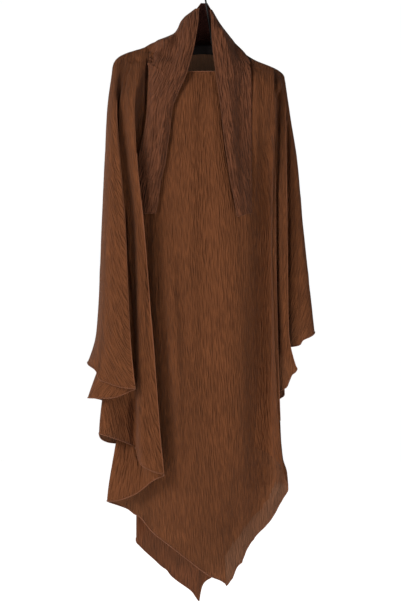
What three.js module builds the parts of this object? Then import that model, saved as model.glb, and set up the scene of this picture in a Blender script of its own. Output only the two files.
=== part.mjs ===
// Overhead abaya (diamond khimar) hanging on a plain hanger.
// Millimetres, +Z up, +X the viewer's right, +Y away from the viewer.
// The origin is the inside top of the hanger's hook, where a rail would carry it.
import * as THREE from 'three';

// ---------------------------------------------------------------- named sizes
const WALL = 1.6;            // cloth wall of the cape and crown
const STRIP_WALL = 1.6;      // band and ties
const SEAM = 0.4;            // clear gap between joined pieces
const SHOULDER_ROLL = 55;    // depth over which the cloth rounds off the shoulder ridge
const CAPE_ROWS = 11;        // steps from the top edge to the hem
const ROW_BIAS = 1.6;        // closer rows at the shoulder
const FLAT_STEPS = 2;        // steps across a gentle row of the fold tables
const TURN_STEPS = 3;        // steps across a row where the cloth turns back
const HOOK_RADIUS = 17;      // inside radius of the hook
const HOOK_WIRE = 2.2;       // radius of the hook's wire
const HANGER_HALF_DEPTH = 6; // half the hanger's thickness
const CLOTH = 0x6e442d, CLOTH_STRIP = 0x6f4833, DARK = 0x15130f, BLACK_WIRE = 0x1a1a1a;

// heights of the measuring levels, below the hook
const LEVEL = { neck: -228, yoke: -348, chest: -472, waist: -622, hip: -898, knee: -1148, calf: -1322, foot: -1530 };

// ---------------------------------------------------------------- fold tables
// One row for each fold line, from the centre line out to the side seam.
// x: how far across it hangs at each level. y: its depth. gap: at a turn, the distance between
// the layer that arrives and the layer that leaves (+ when the cloth turns away from the viewer).
// top: height of the upper edge, yTop: depth there.
const FRONT_LEFT = [
  { fold: 'centre', x: { neck: 0, yoke: 0, chest: 2, waist: 5, hip: 15, knee: 33, calf: 48, foot: 64 }, y: { neck: -48, yoke: -62, waist: -60, hip: -54, calf: -40 }, gap: { neck: 0, yoke: 0, waist: 0, hip: 0, calf: 0 }, top: -251, yTop: -46 },
  { fold: 'ridge_a', x: { neck: -33, yoke: -37, chest: -37, waist: -35, hip: -30, knee: -25, calf: -25, foot: -33 }, y: { neck: -46, yoke: -66, waist: -68, hip: -64, calf: -48 }, gap: { neck: 0, yoke: 0, waist: 0, hip: 0, calf: 0 }, top: -251, yTop: -46 },
  { fold: 'valley_a', x: { neck: -88, yoke: -103, chest: -103, waist: -92, hip: -72, knee: -63, calf: -68, foot: -88 }, y: { neck: -44, yoke: -48, waist: -50, hip: -52, calf: -46 }, gap: { neck: 0, yoke: 0, waist: 0, hip: 0, calf: 0 }, top: -226, yTop: -40 },
  { fold: 'panel_a', x: { neck: -125, yoke: -148, chest: -150, waist: -155, hip: -158, knee: -165, calf: -180, foot: -188 }, y: { neck: -36, yoke: -40, waist: -42, hip: -42, calf: -38 }, gap: { neck: 0, yoke: 0, waist: 0, hip: 0, calf: 0 }, top: -204, yTop: -26 },
  { fold: 'turn_1', x: { neck: -140, yoke: -163, chest: -173, waist: -180, hip: -198, knee: -215, calf: -240, foot: -250 }, y: { neck: -34, yoke: -44, waist: -50, hip: -50, calf: -48 }, gap: { neck: -4, yoke: -8, waist: -18, hip: -18, calf: -16 }, top: -182, yTop: 0 },
  { fold: 'turn_2', x: { neck: -155, yoke: -167, chest: -163, waist: -148, hip: -125, knee: -107, calf: -91, foot: -82 }, y: { neck: -36, yoke: -70, waist: -88, hip: -88, calf: -87 }, gap: { neck: -4, yoke: -10, waist: -18, hip: -20, calf: -20 }, top: -187, yTop: 0 },
  { fold: 'ridge_c', x: { neck: -168, yoke: -182, chest: -178, waist: -166, hip: -159, knee: -158, calf: -158, foot: -158 }, y: { neck: -33, yoke: -63, waist: -92, hip: -104, calf: -104 }, gap: { neck: 0, yoke: 0, waist: 0, hip: 0, calf: 0 }, top: -191, yTop: 0 },
  { fold: 'valley_b', x: { neck: -181, yoke: -198, chest: -192, waist: -183, hip: -175, knee: -170, calf: -170, foot: -170 }, y: { neck: -30, yoke: -49, waist: -72, hip: -72, calf: -71 }, gap: { neck: 0, yoke: 0, waist: 0, hip: 0, calf: 0 }, top: -193, yTop: 0 },
  { fold: 'turn_3', x: { neck: -191, yoke: -212, chest: -212, waist: -219, hip: -229, knee: -259, calf: -264, foot: -264 }, y: { neck: -26, yoke: -44, waist: -66, hip: -66, calf: -66 }, gap: { neck: 4, yoke: 10, waist: 30, hip: 38, calf: 40 }, top: -197, yTop: 0 },
  { fold: 'tuck_1', x: { neck: -199, yoke: -209, chest: -206, waist: -206, hip: -209, knee: -212, calf: -212, foot: -212 }, y: { neck: -22, yoke: -34, waist: -24, hip: -16, calf: -14 }, gap: { neck: 3, yoke: 6, waist: 12, hip: 14, calf: 14 }, top: -199, yTop: 0 },
  { fold: 'turn_4', x: { neck: -206, yoke: -218, chest: -221, waist: -227, hip: -239, knee: -302, calf: -302, foot: -302 }, y: { neck: -24, yoke: -44, waist: -58, hip: -60, calf: -60 }, gap: { neck: -5, yoke: -22, waist: -76, hip: -90, calf: -90 }, top: -203, yTop: 0 },
  { fold: 'turn_5', x: { neck: -214, yoke: -215, chest: -206, waist: -193, hip: -180, knee: -157, calf: -150, foot: -150 }, y: { neck: -26, yoke: -60, waist: -104, hip: -114, calf: -114 }, gap: { neck: -3, yoke: -9, waist: -16, hip: -18, calf: -18 }, top: -210, yTop: 0 },
  { fold: 'ridge_b', x: { neck: -223, yoke: -232, chest: -236, waist: -240, hip: -247, knee: -262, calf: -262, foot: -262 }, y: { neck: -20, yoke: -52, waist: -104, hip: -110, calf: -110 }, gap: { neck: 0, yoke: 0, waist: 0, hip: 0, calf: 0 }, top: -221, yTop: 0 },
  { fold: 'side', x: { neck: -229, yoke: -241, chest: -247, waist: -254, hip: -266, knee: -350, calf: -358, foot: -358 }, y: { neck: -10, yoke: -24, waist: -40, hip: -50, calf: -50 }, gap: { neck: 0, yoke: 0, waist: 0, hip: 0, calf: 0 }, top: -246, yTop: 0 },
];
const BACK_LEFT = [
  { fold: 'centre', x: { neck: 0, yoke: -2, chest: -5, waist: -8, hip: -10, knee: -13, calf: -13, foot: -14 }, y: { neck: 28, yoke: 48, waist: 58, hip: 64, calf: 66 }, gap: { neck: 0, yoke: 0, waist: 0, hip: 0, calf: 0 }, top: -191, yTop: 30 },
  { fold: 'back_a', x: { neck: -69, yoke: -69, chest: -72, waist: -77, hip: -84, knee: -95, calf: -100, foot: -102 }, y: { neck: 28, yoke: 50, waist: 62, hip: 68, calf: 68 }, gap: { neck: 0, yoke: 0, waist: 0, hip: 0, calf: 0 }, top: -187, yTop: 24 },
  { fold: 'turn_b1', x: { neck: -132, yoke: -135, chest: -141, waist: -151, hip: -164, knee: -172, calf: -172, foot: -172 }, y: { neck: 26, yoke: 48, waist: 62, hip: 70, calf: 70 }, gap: { neck: 3, yoke: 10, waist: 24, hip: 30, calf: 30 }, top: -180, yTop: 0 },
  { fold: 'turn_b2', x: { neck: -142, yoke: -130, chest: -118, waist: -100, hip: -70, knee: -49, calf: -44, foot: -44 }, y: { neck: 27, yoke: 60, waist: 86, hip: 100, calf: 102 }, gap: { neck: 3, yoke: 10, waist: 18, hip: 20, calf: 20 }, top: -182, yTop: 0 },
  { fold: 'valley_b3', x: { neck: -170, yoke: -171, chest: -169, waist: -167, hip: -163, knee: -158, calf: -158, foot: -158 }, y: { neck: 23, yoke: 50, waist: 90, hip: 104, calf: 106 }, gap: { neck: 0, yoke: 0, waist: 0, hip: 0, calf: 0 }, top: -189, yTop: 0 },
  { fold: 'turn_b3', x: { neck: -190, yoke: -209, chest: -218, waist: -226, hip: -240, knee: -255, calf: -258, foot: -258 }, y: { neck: 19, yoke: 42, waist: 84, hip: 96, calf: 98 }, gap: { neck: -3, yoke: -10, waist: -24, hip: -28, calf: -28 }, top: -196, yTop: 0 },
  { fold: 'turn_b4', x: { neck: -205, yoke: -206, chest: -202, waist: -197, hip: -187, knee: -185, calf: -185, foot: -185 }, y: { neck: 16, yoke: 33, waist: 62, hip: 70, calf: 72 }, gap: { neck: -3, yoke: -6, waist: -10, hip: -12, calf: -12 }, top: -202, yTop: 0 },
  { fold: 'ridge_b5', x: { neck: -223, yoke: -234, chest: -240, waist: -245, hip: -253, knee: -266, calf: -266, foot: -266 }, y: { neck: 12, yoke: 30, waist: 50, hip: 58, calf: 60 }, gap: { neck: 0, yoke: 0, waist: 0, hip: 0, calf: 0 }, top: -218, yTop: 0 },
  { fold: 'side', x: { neck: -230, yoke: -244, chest: -250, waist: -257, hip: -271, knee: -357, calf: -365, foot: -365 }, y: { neck: 8, yoke: 20, waist: 30, hip: 40, calf: 40 }, gap: { neck: 0, yoke: 0, waist: 0, hip: 0, calf: 0 }, top: -246, yTop: 0 },
];
const FRONT_RIGHT = [
  { fold: 'centre', x: { neck: 0, yoke: 0, chest: 2, waist: 5, hip: 15, knee: 33, calf: 48, foot: 64 }, y: { neck: -48, yoke: -62, waist: -60, hip: -54, calf: -40 }, gap: { neck: 0, yoke: 0, waist: 0, hip: 0, calf: 0 }, top: -251, yTop: -46 },
  { fold: 'ridge_r', x: { neck: 28, yoke: 47, chest: 65, waist: 82, hip: 92, knee: 97, calf: 98, foot: 98 }, y: { neck: -46, yoke: -68, waist: -70, hip: -64, calf: -46 }, gap: { neck: 0, yoke: 0, waist: 0, hip: 0, calf: 0 }, top: -251, yTop: -46 },
  { fold: 'valley_r', x: { neck: 93, yoke: 132, chest: 147, waist: 157, hip: 160, knee: 160, calf: 158, foot: 148 }, y: { neck: -42, yoke: -50, waist: -52, hip: -51, calf: -48 }, gap: { neck: 0, yoke: 0, waist: 0, hip: 0, calf: 0 }, top: -238, yTop: -34 },
  { fold: 'edge_r', x: { neck: 136, yoke: 157, chest: 167, waist: 173, hip: 177, knee: 185, calf: 195, foot: 197 }, y: { neck: -34, yoke: -56, waist: -64, hip: -64, calf: -56 }, gap: { neck: 0, yoke: 0, waist: 0, hip: 0, calf: 0 }, top: -218, yTop: 0 },
  { fold: 'turn_r1', x: { neck: 183, yoke: 182, chest: 179, waist: 179, hip: 185, knee: 192, calf: 211, foot: 220 }, y: { neck: -28, yoke: -48, waist: -56, hip: -56, calf: -54 }, gap: { neck: 4, yoke: 10, waist: 17, hip: 19, calf: 19 }, top: -236, yTop: 0 },
  { fold: 'turn_r2', x: { neck: 176, yoke: 168, chest: 156, waist: 133, hip: 93, knee: 53, calf: 38, foot: 38 }, y: { neck: -22, yoke: -33, waist: -34, hip: -29, calf: -26 }, gap: { neck: 3, yoke: 7, waist: 10, hip: 10, calf: 10 }, top: -238, yTop: 0 },
  { fold: 'turn_r3', x: { neck: 198, yoke: 207, chest: 209, waist: 212, hip: 216, knee: 288, calf: 318, foot: 318 }, y: { neck: -18, yoke: -32, waist: -38, hip: -38, calf: -38 }, gap: { neck: 3, yoke: 8, waist: 10, hip: 10, calf: 10 }, top: -242, yTop: 0 },
  { fold: 'turn_r4', x: { neck: 199, yoke: 201, chest: 198, waist: 193, hip: 184, knee: 174, calf: 174, foot: 174 }, y: { neck: -13, yoke: -18, waist: -20, hip: -22, calf: -22 }, gap: { neck: 3, yoke: 6, waist: 8, hip: 8, calf: 8 }, top: -244, yTop: 0 },
  { fold: 'side', x: { neck: 205, yoke: 219, chest: 238, waist: 251, hip: 280, knee: 307, calf: 307, foot: 307 }, y: { neck: -6, yoke: -10, waist: -18, hip: -24, calf: -24 }, gap: { neck: 0, yoke: 0, waist: 0, hip: 0, calf: 0 }, top: -266, yTop: 0 },
];
const BACK_RIGHT = [
  { fold: 'centre', x: { neck: 0, yoke: -2, chest: -5, waist: -8, hip: -10, knee: -13, calf: -13, foot: -14 }, y: { neck: 28, yoke: 48, waist: 58, hip: 64, calf: 66 }, gap: { neck: 0, yoke: 0, waist: 0, hip: 0, calf: 0 }, top: -191, yTop: 30 },
  { fold: 'back_r', x: { neck: 64, yoke: 64, chest: 67, waist: 69, hip: 77, knee: 87, calf: 95, foot: 103 }, y: { neck: 28, yoke: 50, waist: 62, hip: 68, calf: 68 }, gap: { neck: 0, yoke: 0, waist: 0, hip: 0, calf: 0 }, top: -197, yTop: 24 },
  { fold: 'edge_br', x: { neck: 120, yoke: 125, chest: 128, waist: 133, hip: 144, knee: 157, calf: 167, foot: 167 }, y: { neck: 24, yoke: 46, waist: 58, hip: 66, calf: 66 }, gap: { neck: 0, yoke: 0, waist: 0, hip: 0, calf: 0 }, top: -211, yTop: 0 },
  { fold: 'turn_br1', x: { neck: 155, yoke: 158, chest: 161, waist: 162, hip: 164, knee: 170, calf: 175, foot: 177 }, y: { neck: 22, yoke: 46, waist: 62, hip: 70, calf: 70 }, gap: { neck: 3, yoke: 10, waist: 20, hip: 24, calf: 24 }, top: -226, yTop: 0 },
  { fold: 'turn_br2', x: { neck: 150, yoke: 141, chest: 129, waist: 108, hip: 75, knee: 34, calf: 23, foot: 23 }, y: { neck: 22, yoke: 58, waist: 84, hip: 96, calf: 96 }, gap: { neck: 3, yoke: 10, waist: 18, hip: 20, calf: 20 }, top: -223, yTop: 0 },
  { fold: 'turn_br3', x: { neck: 188, yoke: 197, chest: 200, waist: 203, hip: 207, knee: 211, calf: 212, foot: 212 }, y: { neck: 17, yoke: 46, waist: 82, hip: 94, calf: 96 }, gap: { neck: -3, yoke: -10, waist: -22, hip: -26, calf: -26 }, top: -240, yTop: 0 },
  { fold: 'turn_br4', x: { neck: 183, yoke: 181, chest: 181, waist: 182, hip: 185, knee: 187, calf: 187, foot: 187 }, y: { neck: 15, yoke: 34, waist: 60, hip: 68, calf: 68 }, gap: { neck: -3, yoke: -6, waist: -8, hip: -10, calf: -10 }, top: -237, yTop: 0 },
  { fold: 'ridge_br5', x: { neck: 200, yoke: 214, chest: 224, waist: 235, hip: 256, knee: 274, calf: 274, foot: 274 }, y: { neck: 10, yoke: 26, waist: 46, hip: 56, calf: 56 }, gap: { neck: 0, yoke: 0, waist: 0, hip: 0, calf: 0 }, top: -249, yTop: 0 },
  { fold: 'side', x: { neck: 205, yoke: 220, chest: 239, waist: 253, hip: 283, knee: 310, calf: 310, foot: 310 }, y: { neck: 6, yoke: 10, waist: 16, hip: 20, calf: 20 }, gap: { neck: 0, yoke: 0, waist: 0, hip: 0, calf: 0 }, top: -266, yTop: 0 },
];

// ---------------------------------------------------------------- hem tables
// z: how low the lower edge hangs at places along each quarter. at counts its control points, from the
// centre line (0) out to the side seam: a row of the fold table is one control point, a turn is two.
const HEM_FRONT_LEFT = [
  { at: 0, z: -1534 }, { at: 0.16, z: -1526 }, { at: 0.42, z: -1517 }, { at: 0.75, z: -1497 }, { at: 1.1, z: -1477 }, { at: 1.78, z: -1447 }, { at: 2.28, z: -1419 },
  { at: 2.54, z: -1397 }, { at: 2.72, z: -1374 }, { at: 2.83, z: -1364 }, { at: 2.95, z: -1359 }, { at: 3.16, z: -1346 }, { at: 3.45, z: -1338 }, { at: 3.79, z: -1332 },
  { at: 4.5, z: -1325 }, { at: 4.96, z: -1324 }, { at: 5.17, z: -1321 }, { at: 5.32, z: -1315 }, { at: 5.47, z: -1306 }, { at: 5.62, z: -1292 }, { at: 5.77, z: -1278 },
  { at: 5.94, z: -1267 }, { at: 6.5, z: -1256 }, { at: 7.19, z: -1250 }, { at: 7.34, z: -1248 }, { at: 7.55, z: -1243 }, { at: 7.79, z: -1238 }, { at: 8.04, z: -1231 },
  { at: 8.25, z: -1221 }, { at: 8.47, z: -1209 }, { at: 8.63, z: -1197 }, { at: 8.84, z: -1189 }, { at: 9.2, z: -1179 }, { at: 9.51, z: -1169 }, { at: 9.86, z: -1159 },
  { at: 10.5, z: -1154 }, { at: 10.89, z: -1167 }, { at: 11.28, z: -1176 }, { at: 11.62, z: -1181 }, { at: 12.5, z: -1184 }, { at: 13.12, z: -1150 }, { at: 13.35, z: -1095 },
  { at: 13.59, z: -1073 }, { at: 14.5, z: -1066 }, { at: 15.16, z: -1065 }, { at: 15.36, z: -1065 }, { at: 15.5, z: -1064 }, { at: 15.65, z: -1060 }, { at: 15.85, z: -1052 },
  { at: 16.05, z: -1046 }, { at: 16.5, z: -1041 }, { at: 17.04, z: -1040 }, { at: 17.36, z: -1037 }, { at: 17.59, z: -1032 }, { at: 17.8, z: -1026 }, { at: 18.02, z: -1021 },
  { at: 18.15, z: -1013 }, { at: 18.25, z: -1000 }, { at: 18.46, z: -992 }, { at: 18.78, z: -987 }, { at: 19.5, z: -979 },
];
const HEM_BACK_LEFT = [
  { at: 0.04, z: -1589 }, { at: 0.17, z: -1570 }, { at: 0.36, z: -1556 }, { at: 0.57, z: -1543 }, { at: 0.78, z: -1528 }, { at: 0.91, z: -1514 }, { at: 1.07, z: -1505 },
  { at: 1.31, z: -1488 }, { at: 1.64, z: -1467 }, { at: 1.95, z: -1452 }, { at: 2.5, z: -1437 }, { at: 3.25, z: -1399 }, { at: 3.65, z: -1338 }, { at: 4.5, z: -1293 },
  { at: 5.47, z: -1257 }, { at: 6.01, z: -1216 }, { at: 6.58, z: -1174 }, { at: 7.5, z: -1153 }, { at: 8.52, z: -1116 }, { at: 9.5, z: -1084 }, { at: 10.34, z: -1053 },
  { at: 10.84, z: -1032 }, { at: 11.12, z: -1007 }, { at: 11.48, z: -992 }, { at: 12.5, z: -979 },
];
const HEM_FRONT_RIGHT = [
  { at: 0.12, z: -1534 }, { at: 0.34, z: -1517 }, { at: 0.58, z: -1496 }, { at: 1.01, z: -1471 }, { at: 1.3, z: -1443 }, { at: 1.62, z: -1418 }, { at: 2.04, z: -1393 },
  { at: 2.41, z: -1366 }, { at: 2.81, z: -1341 }, { at: 3.19, z: -1319 }, { at: 3.65, z: -1296 }, { at: 3.9, z: -1279 }, { at: 4.5, z: -1257 }, { at: 5.13, z: -1213 },
  { at: 5.62, z: -1184 }, { at: 6.5, z: -1169 }, { at: 6.97, z: -1137 }, { at: 7.42, z: -1086 }, { at: 7.62, z: -1056 }, { at: 7.74, z: -1046 }, { at: 7.81, z: -1041 },
  { at: 7.9, z: -1026 }, { at: 8.04, z: -1009 }, { at: 8.5, z: -994 }, { at: 9.2, z: -978 }, { at: 9.62, z: -963 }, { at: 10.5, z: -951 }, { at: 11.03, z: -943 },
  { at: 11.35, z: -940 }, { at: 11.5, z: -938 }, { at: 11.62, z: -934 }, { at: 11.68, z: -925 }, { at: 11.79, z: -920 }, { at: 11.99, z: -915 }, { at: 12.5, z: -903 },
];
const HEM_BACK_RIGHT = [
  { at: 0, z: -1589 }, { at: 0.08, z: -1554 }, { at: 0.17, z: -1542 }, { at: 0.29, z: -1534 }, { at: 0.4, z: -1521 }, { at: 0.5, z: -1509 }, { at: 0.61, z: -1484 },
  { at: 0.74, z: -1464 }, { at: 0.9, z: -1441 }, { at: 1.11, z: -1418 }, { at: 1.41, z: -1392 }, { at: 1.78, z: -1364 }, { at: 2.06, z: -1340 }, { at: 3.5, z: -1295 },
  { at: 4.23, z: -1239 }, { at: 4.7, z: -1196 }, { at: 5.5, z: -1168 }, { at: 6.33, z: -1133 }, { at: 6.79, z: -1094 }, { at: 7.1, z: -1078 }, { at: 7.5, z: -1065 },
  { at: 8.35, z: -1013 }, { at: 9.5, z: -971 }, { at: 10.22, z: -951 }, { at: 10.54, z: -938 }, { at: 10.78, z: -925 }, { at: 11.14, z: -913 }, { at: 12.5, z: -903 },
];

// ---------------------------------------------------------------- small maths
// smooth curve through (xs, ys) that never overshoots; straight beyond its ends
function smooth(xs, ys) {
  const n = xs.length, h = [], d = [], m = [];
  for (let i = 0; i < n - 1; i++) { h.push(xs[i + 1] - xs[i]); d.push((ys[i + 1] - ys[i]) / h[i]); }
  m[0] = d[0]; m[n - 1] = d[n - 2];
  for (let i = 1; i < n - 1; i++) {
    if (d[i - 1] * d[i] <= 0) m[i] = 0;
    else { const a = 2 * h[i] + h[i - 1], b = h[i] + 2 * h[i - 1]; m[i] = (a + b) / (a / d[i - 1] + b / d[i]); }
  }
  return (x) => {
    if (x <= xs[0]) return ys[0] + (x - xs[0]) * m[0];
    if (x >= xs[n - 1]) return ys[n - 1] + (x - xs[n - 1]) * m[n - 1];
    let i = 0; while (x > xs[i + 1]) i++;
    const t = (x - xs[i]) / h[i], t2 = t * t, t3 = t2 * t;
    return ys[i] * (2 * t3 - 3 * t2 + 1) + h[i] * m[i] * (t3 - 2 * t2 + t) + ys[i + 1] * (3 * t2 - 2 * t3) + h[i] * m[i + 1] * (t3 - t2);
  };
}
// a column group such as { neck: .., yoke: .. } as a smooth function of height
function byHeight(group) {
  const names = Object.keys(group).sort((a, b) => LEVEL[a] - LEVEL[b]);
  return smooth(names.map((k) => LEVEL[k]), names.map((k) => group[k]));
}
const clamp01 = (t) => Math.min(1, Math.max(0, t));

// ---------------------------------------------------------------- the cape's surface
// A quarter of the cape: its rows become control points, and a turn gives two.
function quarter(rows) {
  const pts = [];
  for (const r of rows) {
    const x = byHeight(r.x), y = byHeight(r.y), gap = byHeight(r.gap);
    const turn = r.gap.hip !== 0;
    const side = turn ? [-0.5, 0.5] : [0];
    for (const s of side) pts.push({ x, y: (z) => y(z) + s * gap(z), top: r.top, yTop: r.yTop, turn });
  }
  return pts;
}
// next: the neighbouring quarter's points, which the curve leads on to at the side seam
function quarterSurface(rows, hemRows, mirrorRows, nextRows) {
  const pts = quarter(rows), before = quarter(mirrorRows)[1], nextAll = quarter(nextRows), after = nextAll[nextAll.length - 1];
  const n = pts.length;
  const at = (i) => (i < 0 ? before : i >= n ? after : pts[i]);
  const idx = pts.map((_, i) => i);
  const top = smooth(idx, pts.map((p) => p.top)), hem = smooth(hemRows.map((r) => r.at), hemRows.map((r) => r.z)), yTop = smooth(idx, pts.map((p) => p.yTop));
  const end = n - 0.5; // the side seam, half way to the neighbour's first point
  const edge = (fn, u) => fn(Math.min(u, n - 1));
  const point = (u, w) => {
    const zt = edge(top, u), zh = hem(u), z = zt + (zh - zt) * w;
    const i = Math.floor(u + 0.5), t = u + 0.5 - i;
    const a = at(i - 1), b = at(i), c = at(i + 1);
    const wa = 0.5 * (1 - t) * (1 - t), wc = 0.5 * t * t, wb = 1 - wa - wc;
    const x = wa * a.x(z) + wb * b.x(z) + wc * c.x(z);
    const yFull = wa * a.y(z) + wb * b.y(z) + wc * c.y(z);
    const y0 = edge(yTop, u), s = clamp01((zt - z) / SHOULDER_ROLL), roll = Math.sqrt(1 - (1 - s) * (1 - s));
    return new THREE.Vector3(x, y0 + (yFull - y0) * roll, z);
  };
  // parameter values, closer together where the cloth turns
  const us = [];
  for (let i = 0; i < n; i++) {
    const steps = pts[i].turn ? TURN_STEPS : FLAT_STEPS;
    for (let k = 0; k < steps; k++) { const u = i - 0.5 + k / steps; if (u > 1e-6) us.push(u); }
  }
  us.unshift(0); us.push(end);
  return { point, us, n };
}

// ---------------------------------------------------------------- walls from grids
// grid[j][i] is a THREE.Vector3; the wall lies half its thickness to each side of it
function wallFromGrid(grid, thickness, fixNormal) {
  const R = grid.length, C = grid[0].length, up = [], dn = [];
  for (let j = 0; j < R; j++) {
    up.push([]); dn.push([]);
    for (let i = 0; i < C; i++) {
      const a = grid[j][Math.max(i - 1, 0)], b = grid[j][Math.min(i + 1, C - 1)];
      const c = grid[Math.max(j - 1, 0)][i], d = grid[Math.min(j + 1, R - 1)][i];
      let nrm = new THREE.Vector3().crossVectors(b.clone().sub(a), d.clone().sub(c)).normalize();
      if (fixNormal) { const f = fixNormal(i, j, nrm); if (f) nrm = f; }
      up[j].push(grid[j][i].clone().addScaledVector(nrm, thickness / 2));
      dn[j].push(grid[j][i].clone().addScaledVector(nrm, -thickness / 2));
    }
  }
  const verts = [], index = [];
  const id = (layer, j, i) => layer * R * C + j * C + i;
  for (const L of [up, dn]) for (const row of L) for (const p of row) verts.push(p.x, p.y, p.z);
  const quad = (a, b, c, d) => index.push(a, b, c, a, c, d);
  for (let j = 0; j < R - 1; j++) for (let i = 0; i < C - 1; i++) {
    quad(id(0, j, i), id(0, j, i + 1), id(0, j + 1, i + 1), id(0, j + 1, i));
    quad(id(1, j, i), id(1, j + 1, i), id(1, j + 1, i + 1), id(1, j, i + 1));
  }
  for (let i = 0; i < C - 1; i++) {
    quad(id(0, 0, i), id(1, 0, i), id(1, 0, i + 1), id(0, 0, i + 1));
    quad(id(0, R - 1, i + 1), id(1, R - 1, i + 1), id(1, R - 1, i), id(0, R - 1, i));
  }
  for (let j = 0; j < R - 1; j++) {
    quad(id(0, j + 1, 0), id(1, j + 1, 0), id(1, j, 0), id(0, j, 0));
    quad(id(0, j, C - 1), id(1, j, C - 1), id(1, j + 1, C - 1), id(0, j + 1, C - 1));
  }
  return closedGeometry(verts, index);
}
function closedGeometry(verts, index) {
  const g = new THREE.BufferGeometry();
  g.setAttribute('position', new THREE.Float32BufferAttribute(verts, 3));
  g.setIndex(index);
  // turn the faces outward if the solid came out inside out
  let vol = 0; const p = (k) => new THREE.Vector3(verts[3 * k], verts[3 * k + 1], verts[3 * k + 2]);
  for (let k = 0; k < index.length; k += 3) vol += p(index[k]).dot(p(index[k + 1]).cross(p(index[k + 2])));
  if (vol < 0) for (let k = 0; k < index.length; k += 3) { const t = index[k]; index[k] = index[k + 1]; index[k + 1] = t; }
  g.setIndex(index); g.computeVertexNormals();
  return g;
}
// a solid through closed rings, each a list of points in the same order, capped at both ends
function loft(rings) {
  const verts = [], index = [], m = rings[0].length, n = rings.length;
  for (const r of rings) for (const p of r) verts.push(p.x, p.y, p.z);
  for (let k = 0; k < n - 1; k++) for (let i = 0; i < m; i++) {
    const a = k * m + i, b = k * m + (i + 1) % m, c = (k + 1) * m + (i + 1) % m, d = (k + 1) * m + i;
    index.push(a, b, c, a, c, d);
  }
  for (const [k, flip] of [[0, true], [n - 1, false]]) {
    const c = rings[k].reduce((s, p) => s.add(p), new THREE.Vector3()).multiplyScalar(1 / m), ci = verts.length / 3;
    verts.push(c.x, c.y, c.z);
    for (let i = 0; i < m; i++) { const a = k * m + i, b = k * m + (i + 1) % m; flip ? index.push(ci, b, a) : index.push(ci, a, b); }
  }
  return closedGeometry(verts, index);
}

// ---------------------------------------------------------------- cape panels
// left and right quarters joined at the centre into one sheet, from side seam to side seam
function panel(left, right, hems, mirrorNext, isFront) {
  const L = quarterSurface(left, hems.left, right, mirrorNext.left), Rr = quarterSurface(right, hems.right, left, mirrorNext.right);
  const cols = [...L.us.slice().reverse().map((u) => [L, u, -1]), ...Rr.us.slice(1).map((u) => [Rr, u, 1])];
  const grid = [], pull = isFront ? -SEAM / 2 : SEAM / 2;
  for (let j = 0; j <= CAPE_ROWS; j++) {
    const w = Math.pow(j / CAPE_ROWS, ROW_BIAS), row = [];
    cols.forEach(([q, u], i) => {
      const p = q.point(u, w);
      // the upper edge on the shoulder ridge and the side edges stand half a seam back
      if (i === 0 || i === cols.length - 1 || (j === 0 && Math.abs(p.y) < 1)) p.y += pull;
      row.push(p);
    });
    grid.push(row);
  }
  // at a seam the wall stands square to it, so that the two panels' edges face each other
  const fix = (i, j, nrm) => {
    const atSide = i === 0 || i === cols.length - 1, atRidge = j === 0 && Math.abs(grid[0][i].y) < 1;
    return atSide || atRidge ? new THREE.Vector3(nrm.x, 0, nrm.z).normalize() : null;
  };
  return wallFromGrid(grid, WALL, fix);
}
const capeFront = panel(FRONT_LEFT, FRONT_RIGHT, { left: HEM_FRONT_LEFT, right: HEM_FRONT_RIGHT }, { left: BACK_LEFT, right: BACK_RIGHT }, true);
const capeBack = panel(BACK_LEFT, BACK_RIGHT, { left: HEM_BACK_LEFT, right: HEM_BACK_RIGHT }, { left: FRONT_LEFT, right: FRONT_RIGHT }, false);

// ---------------------------------------------------------------- crown (hood)
// One row for each height: outer reach to the left and right, depth in front and behind,
// and where its two front edges stand, beside the face opening.
const CROWN = [
  { z: -75, left: -9, right: 14, front: -5, back: 7, edgeLeft: -7, edgeRight: 12, edgeDepth: -5 },
  { z: -85, left: -17, right: 20, front: -9, back: 11, edgeLeft: -14, edgeRight: 17, edgeDepth: -9 },
  { z: -97, left: -34, right: 27, front: -13, back: 16, edgeLeft: -28, edgeRight: 23, edgeDepth: -14 },
  { z: -110, left: -50, right: 34, front: -17, back: 20, edgeLeft: -38, edgeRight: 28, edgeDepth: -20 },
  { z: -127, left: -61, right: 45, front: -20, back: 24, edgeLeft: -42, edgeRight: 32, edgeDepth: -26 },
  { z: -143, left: -67, right: 58, front: -22, back: 27, edgeLeft: -44, edgeRight: 34, edgeDepth: -30 },
  { z: -155, left: -87, right: 67, front: -23, back: 28, edgeLeft: -45, edgeRight: 35, edgeDepth: -33 },
  { z: -165, left: -113, right: 76, front: -24, back: 29, edgeLeft: -46, edgeRight: 36, edgeDepth: -36 },
  { z: -177, left: -137, right: 87, front: -24, back: 30, edgeLeft: -48, edgeRight: 36, edgeDepth: -38 },
  { z: -189, left: -148, right: 98, front: -25, back: 30, edgeLeft: -49, edgeRight: 37, edgeDepth: -40 },
  { z: -203, left: -152, right: 109, front: -25, back: 30, edgeLeft: -50, edgeRight: 38, edgeDepth: -42 },
  { z: -221, left: -152, right: 117, front: -25, back: 30, edgeLeft: -52, edgeRight: 39, edgeDepth: -44 },
];
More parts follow.
